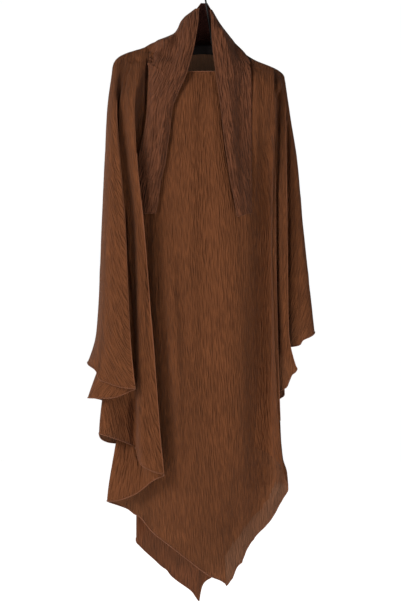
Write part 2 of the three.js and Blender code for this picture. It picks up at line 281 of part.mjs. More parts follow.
// the crown's lower edge, from its left front corner round the back to the right front corner
const CROWN_SEAM = [
  { at: 0.00, z: -228 }, { at: 0.07, z: -217 }, { at: 0.14, z: -196 }, { at: 0.20, z: -181 }, { at: 0.24, z: -177 }, { at: 0.32, z: -182 },
  { at: 0.50, z: -190 }, { at: 0.66, z: -196 }, { at: 0.76, z: -209 }, { at: 0.86, z: -217 }, { at: 1.00, z: -230 },
];
const col = (rows, key, name) => {
  const s = rows.slice().sort((a, b) => a[key] - b[key]);
  return smooth(s.map((r) => r[key]), s.map((r) => r[name]));
};
const crownCol = Object.fromEntries(['left', 'right', 'front', 'back', 'edgeLeft', 'edgeRight', 'edgeDepth'].map((k) => [k, col(CROWN, 'z', k)]));
const crownSeam = col(CROWN_SEAM, 'at', 'z');
const CROWN_TOP = -71, CROWN_COLS = 26, CROWN_ROWS = 9;
function crownPoint(t, z) {
  // t: 0 left front edge, 0.24 left side, 0.5 centre back, 0.76 right side, 1 right front edge
  const c = Object.fromEntries(Object.entries(crownCol).map(([k, f]) => [k, f(z)]));
  const midY = (c.front + c.back) / 2 * 0.3;
  if (t < 0.24 || t > 0.76) {
    const isL = t < 0.5, s = isL ? t / 0.24 : (1 - t) / 0.24, out = isL ? c.left : c.right, inn = isL ? c.edgeLeft : c.edgeRight;
    const a = s * Math.PI / 2;
    return new THREE.Vector3(inn + (out - inn) * Math.sin(a), midY + (c.edgeDepth - midY) * Math.cos(a), z);
  }
  const a = (t - 0.24) / 0.52 * Math.PI, k = 0.5 - 0.5 * Math.cos(a);
  return new THREE.Vector3(c.left + (c.right - c.left) * k, midY + (c.back - midY) * Math.sin(a), z);
}
function crownGrid() {
  const grid = [];
  for (let j = 0; j <= CROWN_ROWS; j++) {
    const row = [];
    for (let i = 0; i <= CROWN_COLS; i++) {
      const t = i / CROWN_COLS, z0 = crownSeam(t) + SEAM + WALL / 2, z = CROWN_TOP + (z0 - CROWN_TOP) * Math.pow(j / CROWN_ROWS, 0.9);
      row.push(crownPoint(t, z));
    }
    grid.push(row);
  }
  return grid;
}
const crown = wallFromGrid(crownGrid(), WALL);

// ---------------------------------------------------------------- band and ties
// One row for each height: the strip's inner and outer edge, and how far forward each lies.
const BAND_LEFT = [
  { z: -84, inner: -8, innerY: -13, outer: -14, outerY: -11 },
  { z: -95, inner: -11, innerY: -19, outer: -22, outerY: -19 },
  { z: -106, inner: -11.5, innerY: -28, outer: -35, outerY: -25 },
  { z: -120, inner: -12, innerY: -36, outer: -51, outerY: -29 },
  { z: -148, inner: -16, innerY: -40, outer: -60, outerY: -38 },
  { z: -185, inner: -22, innerY: -47, outer: -64, outerY: -42 },
  { z: -228, inner: -33, innerY: -56, outer: -66, outerY: -50 },
];
const BAND_RIGHT = [
  { z: -84, inner: 14, innerY: -13, outer: 18, outerY: -11 },
  { z: -98, inner: 19, innerY: -20, outer: 25, outerY: -19 },
  { z: -114, inner: 21, innerY: -30, outer: 34, outerY: -27 },
  { z: -135, inner: 21.5, innerY: -38, outer: 43, outerY: -34 },
  { z: -160, inner: 22.5, innerY: -42, outer: 54, outerY: -40 },
  { z: -185, inner: 24, innerY: -47, outer: 60, outerY: -42 },
  { z: -228, inner: 29, innerY: -56, outer: 68, outerY: -50 },
];
const TIE_LEFT = [
  { z: -229, inner: -33, innerY: -57, outer: -137, outerY: -40 },
  { z: -260, inner: -42, innerY: -64, outer: -137.5, outerY: -46 },
  { z: -300, inner: -60, innerY: -69, outer: -139, outerY: -50 },
  { z: -348, inner: -77, innerY: -69, outer: -142.5, outerY: -54 },
  { z: -397, inner: -82.5, innerY: -67, outer: -147.5, outerY: -55 },
  { z: -435, inner: -88, innerY: -66, outer: -157, outerY: -53 },
  { z: -480, inner: -94, innerY: -64, outer: -163, outerY: -52 },
  { z: -523, inner: -105, innerY: -62, outer: -166, outerY: -53 },
  { z: -572, inner: -112, innerY: -61, outer: -168, outerY: -54 },
  { z: -606, inner: -118, innerY: -60, outer: -169, outerY: -54 },
];
const TIE_RIGHT = [
  { z: -229, inner: 29, innerY: -57, outer: 117, outerY: -42 },
  { z: -260, inner: 33, innerY: -66, outer: 119, outerY: -50 },
  { z: -310, inner: 40, innerY: -76, outer: 119.5, outerY: -58 },
  { z: -368, inner: 47.5, innerY: -81, outer: 120, outerY: -62 },
  { z: -430, inner: 54, innerY: -83, outer: 120, outerY: -63 },
  { z: -485, inner: 62.5, innerY: -83, outer: 120, outerY: -64 },
  { z: -535, inner: 70, innerY: -82, outer: 120, outerY: -64 },
  { z: -572, inner: 78, innerY: -81, outer: 120, outerY: -65 },
  { z: -590, inner: 83, innerY: -81, outer: 120, outerY: -65 },
];
const TIE_LEFT_END = { inner: -606, outer: -606 }, TIE_RIGHT_END = { inner: -615, outer: -604 };
function strip(rows, { topInner, topOuter, endInner, endOuter, bulge, cols, steps }) {
  const f = Object.fromEntries(['inner', 'innerY', 'outer', 'outerY'].map((k) => [k, col(rows, 'z', k)]));
  const grid = [];
  for (let j = 0; j <= steps; j++) {
    const row = [];
    for (let i = 0; i <= cols; i++) {
      const s = i / cols, t = j / steps, zt = topInner + (topOuter - topInner) * s, ze = endInner + (endOuter - endInner) * s, z = zt + (ze - zt) * t;
      const x = f.inner(z) + (f.outer(z) - f.inner(z)) * s;
      const y = f.innerY(z) + (f.outerY(z) - f.innerY(z)) * s - bulge * Math.sin(Math.PI * s);
      row.push(new THREE.Vector3(x, y, z));
    }
    grid.push(row);
  }
  return wallFromGrid(grid, STRIP_WALL);
}
const bandLeft = strip(BAND_LEFT, { topInner: -86, topOuter: -90, endInner: -227, endOuter: -227, bulge: 3, cols: 4, steps: 10 });
const bandRight = strip(BAND_RIGHT, { topInner: -88, topOuter: -94, endInner: -227, endOuter: -227, bulge: 3, cols: 4, steps: 10 });
const tieLeft = strip(TIE_LEFT, { topInner: -229.5, topOuter: -229.5, endInner: TIE_LEFT_END.inner, endOuter: TIE_LEFT_END.outer, bulge: 4, cols: 6, steps: 14 });
const tieRight = strip(TIE_RIGHT, { topInner: -229.5, topOuter: -236, endInner: TIE_RIGHT_END.inner, endOuter: TIE_RIGHT_END.outer, bulge: 4, cols: 6, steps: 14 });

// ---------------------------------------------------------------- hanger
// One row for each station across: height of the centre line, half height, half thickness.
const HANGER = [
  { x: -213, z: -231, half: 5, depth: 4 },
  { x: -205, z: -224, half: 9, depth: 6 },
  { x: -170, z: -211, half: 10, depth: 6 },
  { x: -110, z: -201, half: 10, depth: 6 },
  { x: -50, z: -194, half: 11, depth: 6 },
  { x: -10, z: -190, half: 12, depth: 6 },
  { x: 22, z: -189, half: 13, depth: 6 },
  { x: 45, z: -195, half: 12, depth: 6 },
  { x: 70, z: -206, half: 11, depth: 6 },
  { x: 110, z: -224, half: 10, depth: 6 },
  { x: 165, z: -247, half: 10, depth: 6 },
  { x: 186, z: -259, half: 9, depth: 6 },
  { x: 194, z: -268, half: 5, depth: 4 },
];
const hangerRings = HANGER.map((r) => {
  const ring = [];
  for (let k = 0; k < 10; k++) { const a = k / 10 * 2 * Math.PI; ring.push(new THREE.Vector3(r.x, r.depth * Math.cos(a), r.z + r.half * Math.sin(a))); }
  return ring;
});
const hangerBody = loft(hangerRings);

// hook: straight stem out of the body, then a three-quarter turn whose inside top is the origin
const HOOK_PATH = [];
{
  const r = HOOK_RADIUS + HOOK_WIRE, cz = -HOOK_RADIUS;
  HOOK_PATH.push([22, -175.6], [19.5, -150], [15, -118], [10.5, -90], [6.8, -66], [4.2, -49], [3.4, -41]);
  for (let a = -80; a <= 150; a += 16) { const q = a * Math.PI / 180; HOOK_PATH.push([r * Math.cos(q), cz + r * Math.sin(q)]); }
}
function wire(path, radius, sides) {
  const rings = path.map((p, i) => {
    const a = path[Math.max(i - 1, 0)], b = path[Math.min(i + 1, path.length - 1)];
    const tx = b[0] - a[0], tz = b[1] - a[1], len = Math.hypot(tx, tz), nx = -tz / len, nz = tx / len, ring = [];
    for (let k = 0; k < sides; k++) { const q = k / sides * 2 * Math.PI; ring.push(new THREE.Vector3(p[0] + nx * radius * Math.cos(q), radius * Math.sin(q), p[1] + nz * radius * Math.cos(q))); }
    return ring;
  });
  return loft(rings);
}
const hangerHook = wire(HOOK_PATH, HOOK_WIRE, 8);

// ---------------------------------------------------------------- the object
const object = new THREE.Group();
function add(name, geometry, color, roughness, metalness) {
  const mesh = new THREE.Mesh(geometry, new THREE.MeshStandardMaterial({ color, roughness, metalness }));
  mesh.name = name;
  object.add(mesh);
}
add('cape_front', capeFront, CLOTH, 0.9, 0);
add('cape_back', capeBack, CLOTH, 0.9, 0);
add('crown', crown, CLOTH, 0.9, 0);
add('band_left', bandLeft, CLOTH_STRIP, 0.9, 0);
add('band_right', bandRight, CLOTH_STRIP, 0.9, 0);
add('tie_left', tieLeft, CLOTH_STRIP, 0.9, 0);
add('tie_right', tieRight, CLOTH_STRIP, 0.9, 0);
add('hanger_body', hangerBody, DARK, 0.5, 0);
add('hanger_hook', hangerHook, BLACK_WIRE, 0.35, 0.6);
export default object;
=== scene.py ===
import bpy, math
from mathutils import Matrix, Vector
import numpy as np


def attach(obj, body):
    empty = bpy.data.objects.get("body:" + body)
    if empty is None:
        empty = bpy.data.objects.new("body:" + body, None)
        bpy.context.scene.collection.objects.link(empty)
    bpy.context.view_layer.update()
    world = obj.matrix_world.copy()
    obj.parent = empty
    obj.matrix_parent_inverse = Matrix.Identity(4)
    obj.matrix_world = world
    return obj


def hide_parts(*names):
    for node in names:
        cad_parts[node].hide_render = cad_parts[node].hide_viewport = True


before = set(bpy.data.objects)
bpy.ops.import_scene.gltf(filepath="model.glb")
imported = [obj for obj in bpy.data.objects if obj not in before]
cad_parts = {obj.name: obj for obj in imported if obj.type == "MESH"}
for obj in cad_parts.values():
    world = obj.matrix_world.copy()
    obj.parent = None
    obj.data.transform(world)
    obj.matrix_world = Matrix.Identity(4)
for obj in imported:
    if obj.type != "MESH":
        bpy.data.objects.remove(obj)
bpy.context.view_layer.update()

MM = 0.001

# ---------------------------------------------------------------- camera (first)
CAMERA_AT = (-0.00625, -4.55, -0.82375)
cam_data = bpy.data.cameras.new("camera")
cam = bpy.data.objects.new("camera", cam_data)
bpy.context.scene.collection.objects.link(cam)
cam.location = CAMERA_AT
cam.rotation_euler = (math.radians(90), 0, 0)
cam_data.sensor_fit = "VERTICAL"
cam_data.sensor_height = 36.0
cam_data.lens = 36.0 * 4.5 / (601 * 0.0025)
cam_data.clip_end = 60
bpy.context.scene.camera = cam

# ---------------------------------------------------------------- named sizes
SHOULDER_ROLL = 55.0     # depth over which the cloth rounds off the shoulder ridge
HEM_BEAD = 1.5           # radius of the narrow rolled hem
LEVEL = dict(neck=-228, yoke=-348, chest=-472, waist=-622, hip=-898, knee=-1148, calf=-1322, foot=-1530)

# ---------------------------------------------------------------- fold tables (as the part's own)
# x: how far across each fold line hangs at each level. y: its depth. gap: at a turn, the distance
# between the layer that arrives and the layer that leaves. top, y_top: upper edge. hem: height of the hem.
FRONT_LEFT = [
    dict(fold='centre', x=dict(neck=0, yoke=0, chest=2, waist=5, hip=15, knee=33, calf=48, foot=64), y=dict(neck=-48, yoke=-62, waist=-60, hip=-54, calf=-40), gap=dict(neck=0, yoke=0, waist=0, hip=0, calf=0), top=-251, y_top=-46),
    dict(fold='ridge_a', x=dict(neck=-33, yoke=-37, chest=-37, waist=-35, hip=-30, knee=-25, calf=-25, foot=-33), y=dict(neck=-46, yoke=-66, waist=-68, hip=-64, calf=-48), gap=dict(neck=0, yoke=0, waist=0, hip=0, calf=0), top=-251, y_top=-46),
    dict(fold='valley_a', x=dict(neck=-88, yoke=-103, chest=-103, waist=-92, hip=-72, knee=-63, calf=-68, foot=-88), y=dict(neck=-44, yoke=-48, waist=-50, hip=-52, calf=-46), gap=dict(neck=0, yoke=0, waist=0, hip=0, calf=0), top=-226, y_top=-40),
    dict(fold='panel_a', x=dict(neck=-125, yoke=-148, chest=-150, waist=-155, hip=-158, knee=-165, calf=-180, foot=-188), y=dict(neck=-36, yoke=-40, waist=-42, hip=-42, calf=-38), gap=dict(neck=0, yoke=0, waist=0, hip=0, calf=0), top=-204, y_top=-26),
    dict(fold='turn_1', x=dict(neck=-140, yoke=-163, chest=-173, waist=-180, hip=-198, knee=-215, calf=-240, foot=-250), y=dict(neck=-34, yoke=-44, waist=-50, hip=-50, calf=-48), gap=dict(neck=-4, yoke=-8, waist=-18, hip=-18, calf=-16), top=-182, y_top=0),
    dict(fold='turn_2', x=dict(neck=-155, yoke=-167, chest=-163, waist=-148, hip=-125, knee=-107, calf=-91, foot=-82), y=dict(neck=-36, yoke=-70, waist=-88, hip=-88, calf=-87), gap=dict(neck=-4, yoke=-10, waist=-18, hip=-20, calf=-20), top=-187, y_top=0),
    dict(fold='ridge_c', x=dict(neck=-168, yoke=-182, chest=-178, waist=-166, hip=-159, knee=-158, calf=-158, foot=-158), y=dict(neck=-33, yoke=-63, waist=-92, hip=-104, calf=-104), gap=dict(neck=0, yoke=0, waist=0, hip=0, calf=0), top=-191, y_top=0),
    dict(fold='valley_b', x=dict(neck=-181, yoke=-198, chest=-192, waist=-183, hip=-175, knee=-170, calf=-170, foot=-170), y=dict(neck=-30, yoke=-49, waist=-72, hip=-72, calf=-71), gap=dict(neck=0, yoke=0, waist=0, hip=0, calf=0), top=-193, y_top=0),
    dict(fold='turn_3', x=dict(neck=-191, yoke=-212, chest=-212, waist=-219, hip=-229, knee=-259, calf=-264, foot=-264), y=dict(neck=-26, yoke=-44, waist=-66, hip=-66, calf=-66), gap=dict(neck=4, yoke=10, waist=30, hip=38, calf=40), top=-197, y_top=0),
    dict(fold='tuck_1', x=dict(neck=-199, yoke=-209, chest=-206, waist=-206, hip=-209, knee=-212, calf=-212, foot=-212), y=dict(neck=-22, yoke=-34, waist=-24, hip=-16, calf=-14), gap=dict(neck=3, yoke=6, waist=12, hip=14, calf=14), top=-199, y_top=0),
    dict(fold='turn_4', x=dict(neck=-206, yoke=-218, chest=-221, waist=-227, hip=-239, knee=-302, calf=-302, foot=-302), y=dict(neck=-24, yoke=-44, waist=-58, hip=-60, calf=-60), gap=dict(neck=-5, yoke=-22, waist=-76, hip=-90, calf=-90), top=-203, y_top=0),
    dict(fold='turn_5', x=dict(neck=-214, yoke=-215, chest=-206, waist=-193, hip=-180, knee=-157, calf=-150, foot=-150), y=dict(neck=-26, yoke=-60, waist=-104, hip=-114, calf=-114), gap=dict(neck=-3, yoke=-9, waist=-16, hip=-18, calf=-18), top=-210, y_top=0),
    dict(fold='ridge_b', x=dict(neck=-223, yoke=-232, chest=-236, waist=-240, hip=-247, knee=-262, calf=-262, foot=-262), y=dict(neck=-20, yoke=-52, waist=-104, hip=-110, calf=-110), gap=dict(neck=0, yoke=0, waist=0, hip=0, calf=0), top=-221, y_top=0),
    dict(fold='side', x=dict(neck=-229, yoke=-241, chest=-247, waist=-254, hip=-266, knee=-350, calf=-358, foot=-358), y=dict(neck=-10, yoke=-24, waist=-40, hip=-50, calf=-50), gap=dict(neck=0, yoke=0, waist=0, hip=0, calf=0), top=-246, y_top=0),
]
BACK_LEFT = [
    dict(fold='centre', x=dict(neck=0, yoke=-2, chest=-5, waist=-8, hip=-10, knee=-13, calf=-13, foot=-14), y=dict(neck=28, yoke=48, waist=58, hip=64, calf=66), gap=dict(neck=0, yoke=0, waist=0, hip=0, calf=0), top=-191, y_top=30),
    dict(fold='back_a', x=dict(neck=-69, yoke=-69, chest=-72, waist=-77, hip=-84, knee=-95, calf=-100, foot=-102), y=dict(neck=28, yoke=50, waist=62, hip=68, calf=68), gap=dict(neck=0, yoke=0, waist=0, hip=0, calf=0), top=-187, y_top=24),
    dict(fold='turn_b1', x=dict(neck=-132, yoke=-135, chest=-141, waist=-151, hip=-164, knee=-172, calf=-172, foot=-172), y=dict(neck=26, yoke=48, waist=62, hip=70, calf=70), gap=dict(neck=3, yoke=10, waist=24, hip=30, calf=30), top=-180, y_top=0),
    dict(fold='turn_b2', x=dict(neck=-142, yoke=-130, chest=-118, waist=-100, hip=-70, knee=-49, calf=-44, foot=-44), y=dict(neck=27, yoke=60, waist=86, hip=100, calf=102), gap=dict(neck=3, yoke=10, waist=18, hip=20, calf=20), top=-182, y_top=0),
    dict(fold='valley_b3', x=dict(neck=-170, yoke=-171, chest=-169, waist=-167, hip=-163, knee=-158, calf=-158, foot=-158), y=dict(neck=23, yoke=50, waist=90, hip=104, calf=106), gap=dict(neck=0, yoke=0, waist=0, hip=0, calf=0), top=-189, y_top=0),
    dict(fold='turn_b3', x=dict(neck=-190, yoke=-209, chest=-218, waist=-226, hip=-240, knee=-255, calf=-258, foot=-258), y=dict(neck=19, yoke=42, waist=84, hip=96, calf=98), gap=dict(neck=-3, yoke=-10, waist=-24, hip=-28, calf=-28), top=-196, y_top=0),
    dict(fold='turn_b4', x=dict(neck=-205, yoke=-206, chest=-202, waist=-197, hip=-187, knee=-185, calf=-185, foot=-185), y=dict(neck=16, yoke=33, waist=62, hip=70, calf=72), gap=dict(neck=-3, yoke=-6, waist=-10, hip=-12, calf=-12), top=-202, y_top=0),
    dict(fold='ridge_b5', x=dict(neck=-223, yoke=-234, chest=-240, waist=-245, hip=-253, knee=-266, calf=-266, foot=-266), y=dict(neck=12, yoke=30, waist=50, hip=58, calf=60), gap=dict(neck=0, yoke=0, waist=0, hip=0, calf=0), top=-218, y_top=0),
    dict(fold='side', x=dict(neck=-230, yoke=-244, chest=-250, waist=-257, hip=-271, knee=-357, calf=-365, foot=-365), y=dict(neck=8, yoke=20, waist=30, hip=40, calf=40), gap=dict(neck=0, yoke=0, waist=0, hip=0, calf=0), top=-246, y_top=0),
]
FRONT_RIGHT = [
    dict(fold='centre', x=dict(neck=0, yoke=0, chest=2, waist=5, hip=15, knee=33, calf=48, foot=64), y=dict(neck=-48, yoke=-62, waist=-60, hip=-54, calf=-40), gap=dict(neck=0, yoke=0, waist=0, hip=0, calf=0), top=-251, y_top=-46),
    dict(fold='ridge_r', x=dict(neck=28, yoke=47, chest=65, waist=82, hip=92, knee=97, calf=98, foot=98), y=dict(neck=-46, yoke=-68, waist=-70, hip=-64, calf=-46), gap=dict(neck=0, yoke=0, waist=0, hip=0, calf=0), top=-251, y_top=-46),
    dict(fold='valley_r', x=dict(neck=93, yoke=132, chest=147, waist=157, hip=160, knee=160, calf=158, foot=148), y=dict(neck=-42, yoke=-50, waist=-52, hip=-51, calf=-48), gap=dict(neck=0, yoke=0, waist=0, hip=0, calf=0), top=-238, y_top=-34),
    dict(fold='edge_r', x=dict(neck=136, yoke=157, chest=167, waist=173, hip=177, knee=185, calf=195, foot=197), y=dict(neck=-34, yoke=-56, waist=-64, hip=-64, calf=-56), gap=dict(neck=0, yoke=0, waist=0, hip=0, calf=0), top=-218, y_top=0),
    dict(fold='turn_r1', x=dict(neck=183, yoke=182, chest=179, waist=179, hip=185, knee=192, calf=211, foot=220), y=dict(neck=-28, yoke=-48, waist=-56, hip=-56, calf=-54), gap=dict(neck=4, yoke=10, waist=17, hip=19, calf=19), top=-236, y_top=0),
    dict(fold='turn_r2', x=dict(neck=176, yoke=168, chest=156, waist=133, hip=93, knee=53, calf=38, foot=38), y=dict(neck=-22, yoke=-33, waist=-34, hip=-29, calf=-26), gap=dict(neck=3, yoke=7, waist=10, hip=10, calf=10), top=-238, y_top=0),
    dict(fold='turn_r3', x=dict(neck=198, yoke=207, chest=209, waist=212, hip=216, knee=288, calf=318, foot=318), y=dict(neck=-18, yoke=-32, waist=-38, hip=-38, calf=-38), gap=dict(neck=3, yoke=8, waist=10, hip=10, calf=10), top=-242, y_top=0),
    dict(fold='turn_r4', x=dict(neck=199, yoke=201, chest=198, waist=193, hip=184, knee=174, calf=174, foot=174), y=dict(neck=-13, yoke=-18, waist=-20, hip=-22, calf=-22), gap=dict(neck=3, yoke=6, waist=8, hip=8, calf=8), top=-244, y_top=0),
    dict(fold='side', x=dict(neck=205, yoke=219, chest=238, waist=251, hip=280, knee=307, calf=307, foot=307), y=dict(neck=-6, yoke=-10, waist=-18, hip=-24, calf=-24), gap=dict(neck=0, yoke=0, waist=0, hip=0, calf=0), top=-266, y_top=0),
]
BACK_RIGHT = [
    dict(fold='centre', x=dict(neck=0, yoke=-2, chest=-5, waist=-8, hip=-10, knee=-13, calf=-13, foot=-14), y=dict(neck=28, yoke=48, waist=58, hip=64, calf=66), gap=dict(neck=0, yoke=0, waist=0, hip=0, calf=0), top=-191, y_top=30),
    dict(fold='back_r', x=dict(neck=64, yoke=64, chest=67, waist=69, hip=77, knee=87, calf=95, foot=103), y=dict(neck=28, yoke=50, waist=62, hip=68, calf=68), gap=dict(neck=0, yoke=0, waist=0, hip=0, calf=0), top=-197, y_top=24),
    dict(fold='edge_br', x=dict(neck=120, yoke=125, chest=128, waist=133, hip=144, knee=157, calf=167, foot=167), y=dict(neck=24, yoke=46, waist=58, hip=66, calf=66), gap=dict(neck=0, yoke=0, waist=0, hip=0, calf=0), top=-211, y_top=0),
    dict(fold='turn_br1', x=dict(neck=155, yoke=158, chest=161, waist=162, hip=164, knee=170, calf=175, foot=177), y=dict(neck=22, yoke=46, waist=62, hip=70, calf=70), gap=dict(neck=3, yoke=10, waist=20, hip=24, calf=24), top=-226, y_top=0),
    dict(fold='turn_br2', x=dict(neck=150, yoke=141, chest=129, waist=108, hip=75, knee=34, calf=23, foot=23), y=dict(neck=22, yoke=58, waist=84, hip=96, calf=96), gap=dict(neck=3, yoke=10, waist=18, hip=20, calf=20), top=-223, y_top=0),
    dict(fold='turn_br3', x=dict(neck=188, yoke=197, chest=200, waist=203, hip=207, knee=211, calf=212, foot=212), y=dict(neck=17, yoke=46, waist=82, hip=94, calf=96), gap=dict(neck=-3, yoke=-10, waist=-22, hip=-26, calf=-26), top=-240, y_top=0),
    dict(fold='turn_br4', x=dict(neck=183, yoke=181, chest=181, waist=182, hip=185, knee=187, calf=187, foot=187), y=dict(neck=15, yoke=34, waist=60, hip=68, calf=68), gap=dict(neck=-3, yoke=-6, waist=-8, hip=-10, calf=-10), top=-237, y_top=0),
    dict(fold='ridge_br5', x=dict(neck=200, yoke=214, chest=224, waist=235, hip=256, knee=274, calf=274, foot=274), y=dict(neck=10, yoke=26, waist=46, hip=56, calf=56), gap=dict(neck=0, yoke=0, waist=0, hip=0, calf=0), top=-249, y_top=0),
    dict(fold='side', x=dict(neck=205, yoke=220, chest=239, waist=253, hip=283, knee=310, calf=310, foot=310), y=dict(neck=6, yoke=10, waist=16, hip=20, calf=20), gap=dict(neck=0, yoke=0, waist=0, hip=0, calf=0), top=-266, y_top=0),
]
# How low the lower edge hangs: at counts the control points of a quarter from the centre line out
# (a row above is one, a turn is two).
HEM_FRONT_LEFT = [
    dict(at=0, z=-1534), dict(at=0.16, z=-1526), dict(at=0.42, z=-1517), dict(at=0.75, z=-1497), dict(at=1.1, z=-1477), dict(at=1.78, z=-1447), dict(at=2.28, z=-1419),
    dict(at=2.54, z=-1397), dict(at=2.72, z=-1374), dict(at=2.83, z=-1364), dict(at=2.95, z=-1359), dict(at=3.16, z=-1346), dict(at=3.45, z=-1338), dict(at=3.79, z=-1332),
    dict(at=4.5, z=-1325), dict(at=4.96, z=-1324), dict(at=5.17, z=-1321), dict(at=5.32, z=-1315), dict(at=5.47, z=-1306), dict(at=5.62, z=-1292), dict(at=5.77, z=-1278),
    dict(at=5.94, z=-1267), dict(at=6.5, z=-1256), dict(at=7.19, z=-1250), dict(at=7.34, z=-1248), dict(at=7.55, z=-1243), dict(at=7.79, z=-1238), dict(at=8.04, z=-1231),
    dict(at=8.25, z=-1221), dict(at=8.47, z=-1209), dict(at=8.63, z=-1197), dict(at=8.84, z=-1189), dict(at=9.2, z=-1179), dict(at=9.51, z=-1169), dict(at=9.86, z=-1159),
    dict(at=10.5, z=-1154), dict(at=10.89, z=-1167), dict(at=11.28, z=-1176), dict(at=11.62, z=-1181), dict(at=12.5, z=-1184), dict(at=13.12, z=-1150), dict(at=13.35, z=-1095),
    dict(at=13.59, z=-1073), dict(at=14.5, z=-1066), dict(at=15.16, z=-1065), dict(at=15.36, z=-1065), dict(at=15.5, z=-1064), dict(at=15.65, z=-1060), dict(at=15.85, z=-1052),
    dict(at=16.05, z=-1046), dict(at=16.5, z=-1041), dict(at=17.04, z=-1040), dict(at=17.36, z=-1037), dict(at=17.59, z=-1032), dict(at=17.8, z=-1026), dict(at=18.02, z=-1021),
    dict(at=18.15, z=-1013), dict(at=18.25, z=-1000), dict(at=18.46, z=-992), dict(at=18.78, z=-987), dict(at=19.5, z=-979),
]
HEM_BACK_LEFT = [
    dict(at=0.04, z=-1589), dict(at=0.17, z=-1570), dict(at=0.36, z=-1556), dict(at=0.57, z=-1543), dict(at=0.78, z=-1528), dict(at=0.91, z=-1514), dict(at=1.07, z=-1505),
    dict(at=1.31, z=-1488), dict(at=1.64, z=-1467), dict(at=1.95, z=-1452), dict(at=2.5, z=-1437), dict(at=3.25, z=-1399), dict(at=3.65, z=-1338), dict(at=4.5, z=-1293),
    dict(at=5.47, z=-1257), dict(at=6.01, z=-1216), dict(at=6.58, z=-1174), dict(at=7.5, z=-1153), dict(at=8.52, z=-1116), dict(at=9.5, z=-1084), dict(at=10.34, z=-1053),
    dict(at=10.84, z=-1032), dict(at=11.12, z=-1007), dict(at=11.48, z=-992), dict(at=12.5, z=-979),
]
HEM_FRONT_RIGHT = [
    dict(at=0.12, z=-1534), dict(at=0.34, z=-1517), dict(at=0.58, z=-1496), dict(at=1.01, z=-1471), dict(at=1.3, z=-1443), dict(at=1.62, z=-1418), dict(at=2.04, z=-1393),
    dict(at=2.41, z=-1366), dict(at=2.81, z=-1341), dict(at=3.19, z=-1319), dict(at=3.65, z=-1296), dict(at=3.9, z=-1279), dict(at=4.5, z=-1257), dict(at=5.13, z=-1213),
    dict(at=5.62, z=-1184), dict(at=6.5, z=-1169), dict(at=6.97, z=-1137), dict(at=7.42, z=-1086), dict(at=7.62, z=-1056), dict(at=7.74, z=-1046), dict(at=7.81, z=-1041),
    dict(at=7.9, z=-1026), dict(at=8.04, z=-1009), dict(at=8.5, z=-994), dict(at=9.2, z=-978), dict(at=9.62, z=-963), dict(at=10.5, z=-951), dict(at=11.03, z=-943),
    dict(at=11.35, z=-940), dict(at=11.5, z=-938), dict(at=11.62, z=-934), dict(at=11.68, z=-925), dict(at=11.79, z=-920), dict(at=11.99, z=-915), dict(at=12.5, z=-903),
]
HEM_BACK_RIGHT = [
    dict(at=0, z=-1589), dict(at=0.08, z=-1554), dict(at=0.17, z=-1542), dict(at=0.29, z=-1534), dict(at=0.4, z=-1521), dict(at=0.5, z=-1509), dict(at=0.61, z=-1484),
    dict(at=0.74, z=-1464), dict(at=0.9, z=-1441), dict(at=1.11, z=-1418), dict(at=1.41, z=-1392), dict(at=1.78, z=-1364), dict(at=2.06, z=-1340), dict(at=3.5, z=-1295),
    dict(at=4.23, z=-1239), dict(at=4.7, z=-1196), dict(at=5.5, z=-1168), dict(at=6.33, z=-1133), dict(at=6.79, z=-1094), dict(at=7.1, z=-1078), dict(at=7.5, z=-1065),
    dict(at=8.35, z=-1013), dict(at=9.5, z=-971), dict(at=10.22, z=-951), dict(at=10.54, z=-938), dict(at=10.78, z=-925), dict(at=11.14, z=-913), dict(at=12.5, z=-903),
]


# ---------------------------------------------------------------- small maths
def smooth(xs, ys):
    """Curve through the points that never overshoots, straight beyond its ends; works on arrays."""
    xs, ys = np.asarray(xs, float), np.asarray(ys, float)
    o = np.argsort(xs)
    xs, ys = xs[o], ys[o]
    h = np.diff(xs)
    d = np.diff(ys) / h
    m = np.zeros(len(xs))
    m[0], m[-1] = d[0], d[-1]
    for i in range(1, len(xs) - 1):
        if d[i - 1] * d[i] > 0:
            a, b = 2 * h[i] + h[i - 1], h[i] + 2 * h[i - 1]
            m[i] = (a + b) / (a / d[i - 1] + b / d[i])

    def f(x):
        x = np.asarray(x, float)
        i = np.clip(np.searchsorted(xs, x, side="right") - 1, 0, len(xs) - 2)
        t = (x - xs[i]) / h[i]
        t2, t3 = t * t, t * t * t
        r = ys[i] * (2 * t3 - 3 * t2 + 1) + h[i] * m[i] * (t3 - 2 * t2 + t) + ys[i + 1] * (3 * t2 - 2 * t3) + h[i] * m[i + 1] * (t3 - t2)
        r = np.where(x < xs[0], ys[0] + (x - xs[0]) * m[0], r)
        return np.where(x > xs[-1], ys[-1] + (x - xs[-1]) * m[-1], r)
    return f


def by_height(group):
    return smooth([LEVEL[k] for k in group], [group[k] for k in group])


def hash2(ix, iy, seed):
    """A repeatable number from 0 to 1 for each lattice point."""
    n = (ix.astype(np.int64) * 374761393 + iy.astype(np.int64) * 668265263 + seed * 974634777) & 0xFFFFFFFF
    n = ((n ^ (n >> 13)) * 1274126177) & 0xFFFFFFFF
    return ((n ^ (n >> 16)) & 0xFFFFFF) / float(0xFFFFFF)


def noise(x, y, seed=0):
    """Smooth value noise from -1 to 1."""
    x, y = np.asarray(x, float), np.asarray(y, float)
    ix, iy = np.floor(x), np.floor(y)
    fx, fy = x - ix, y - iy
    fx, fy = fx * fx * fx * (fx * (fx * 6 - 15) + 10), fy * fy * fy * (fy * (fy * 6 - 15) + 10)
    ix, iy = ix.astype(np.int64), iy.astype(np.int64)
    a, b = hash2(ix, iy, seed), hash2(ix + 1, iy, seed)
    c, d = hash2(ix, iy + 1, seed), hash2(ix + 1, iy + 1, seed)
    return 2 * ((a * (1 - fx) + b * fx) * (1 - fy) + (c * (1 - fx) + d * fx) * fy) - 1


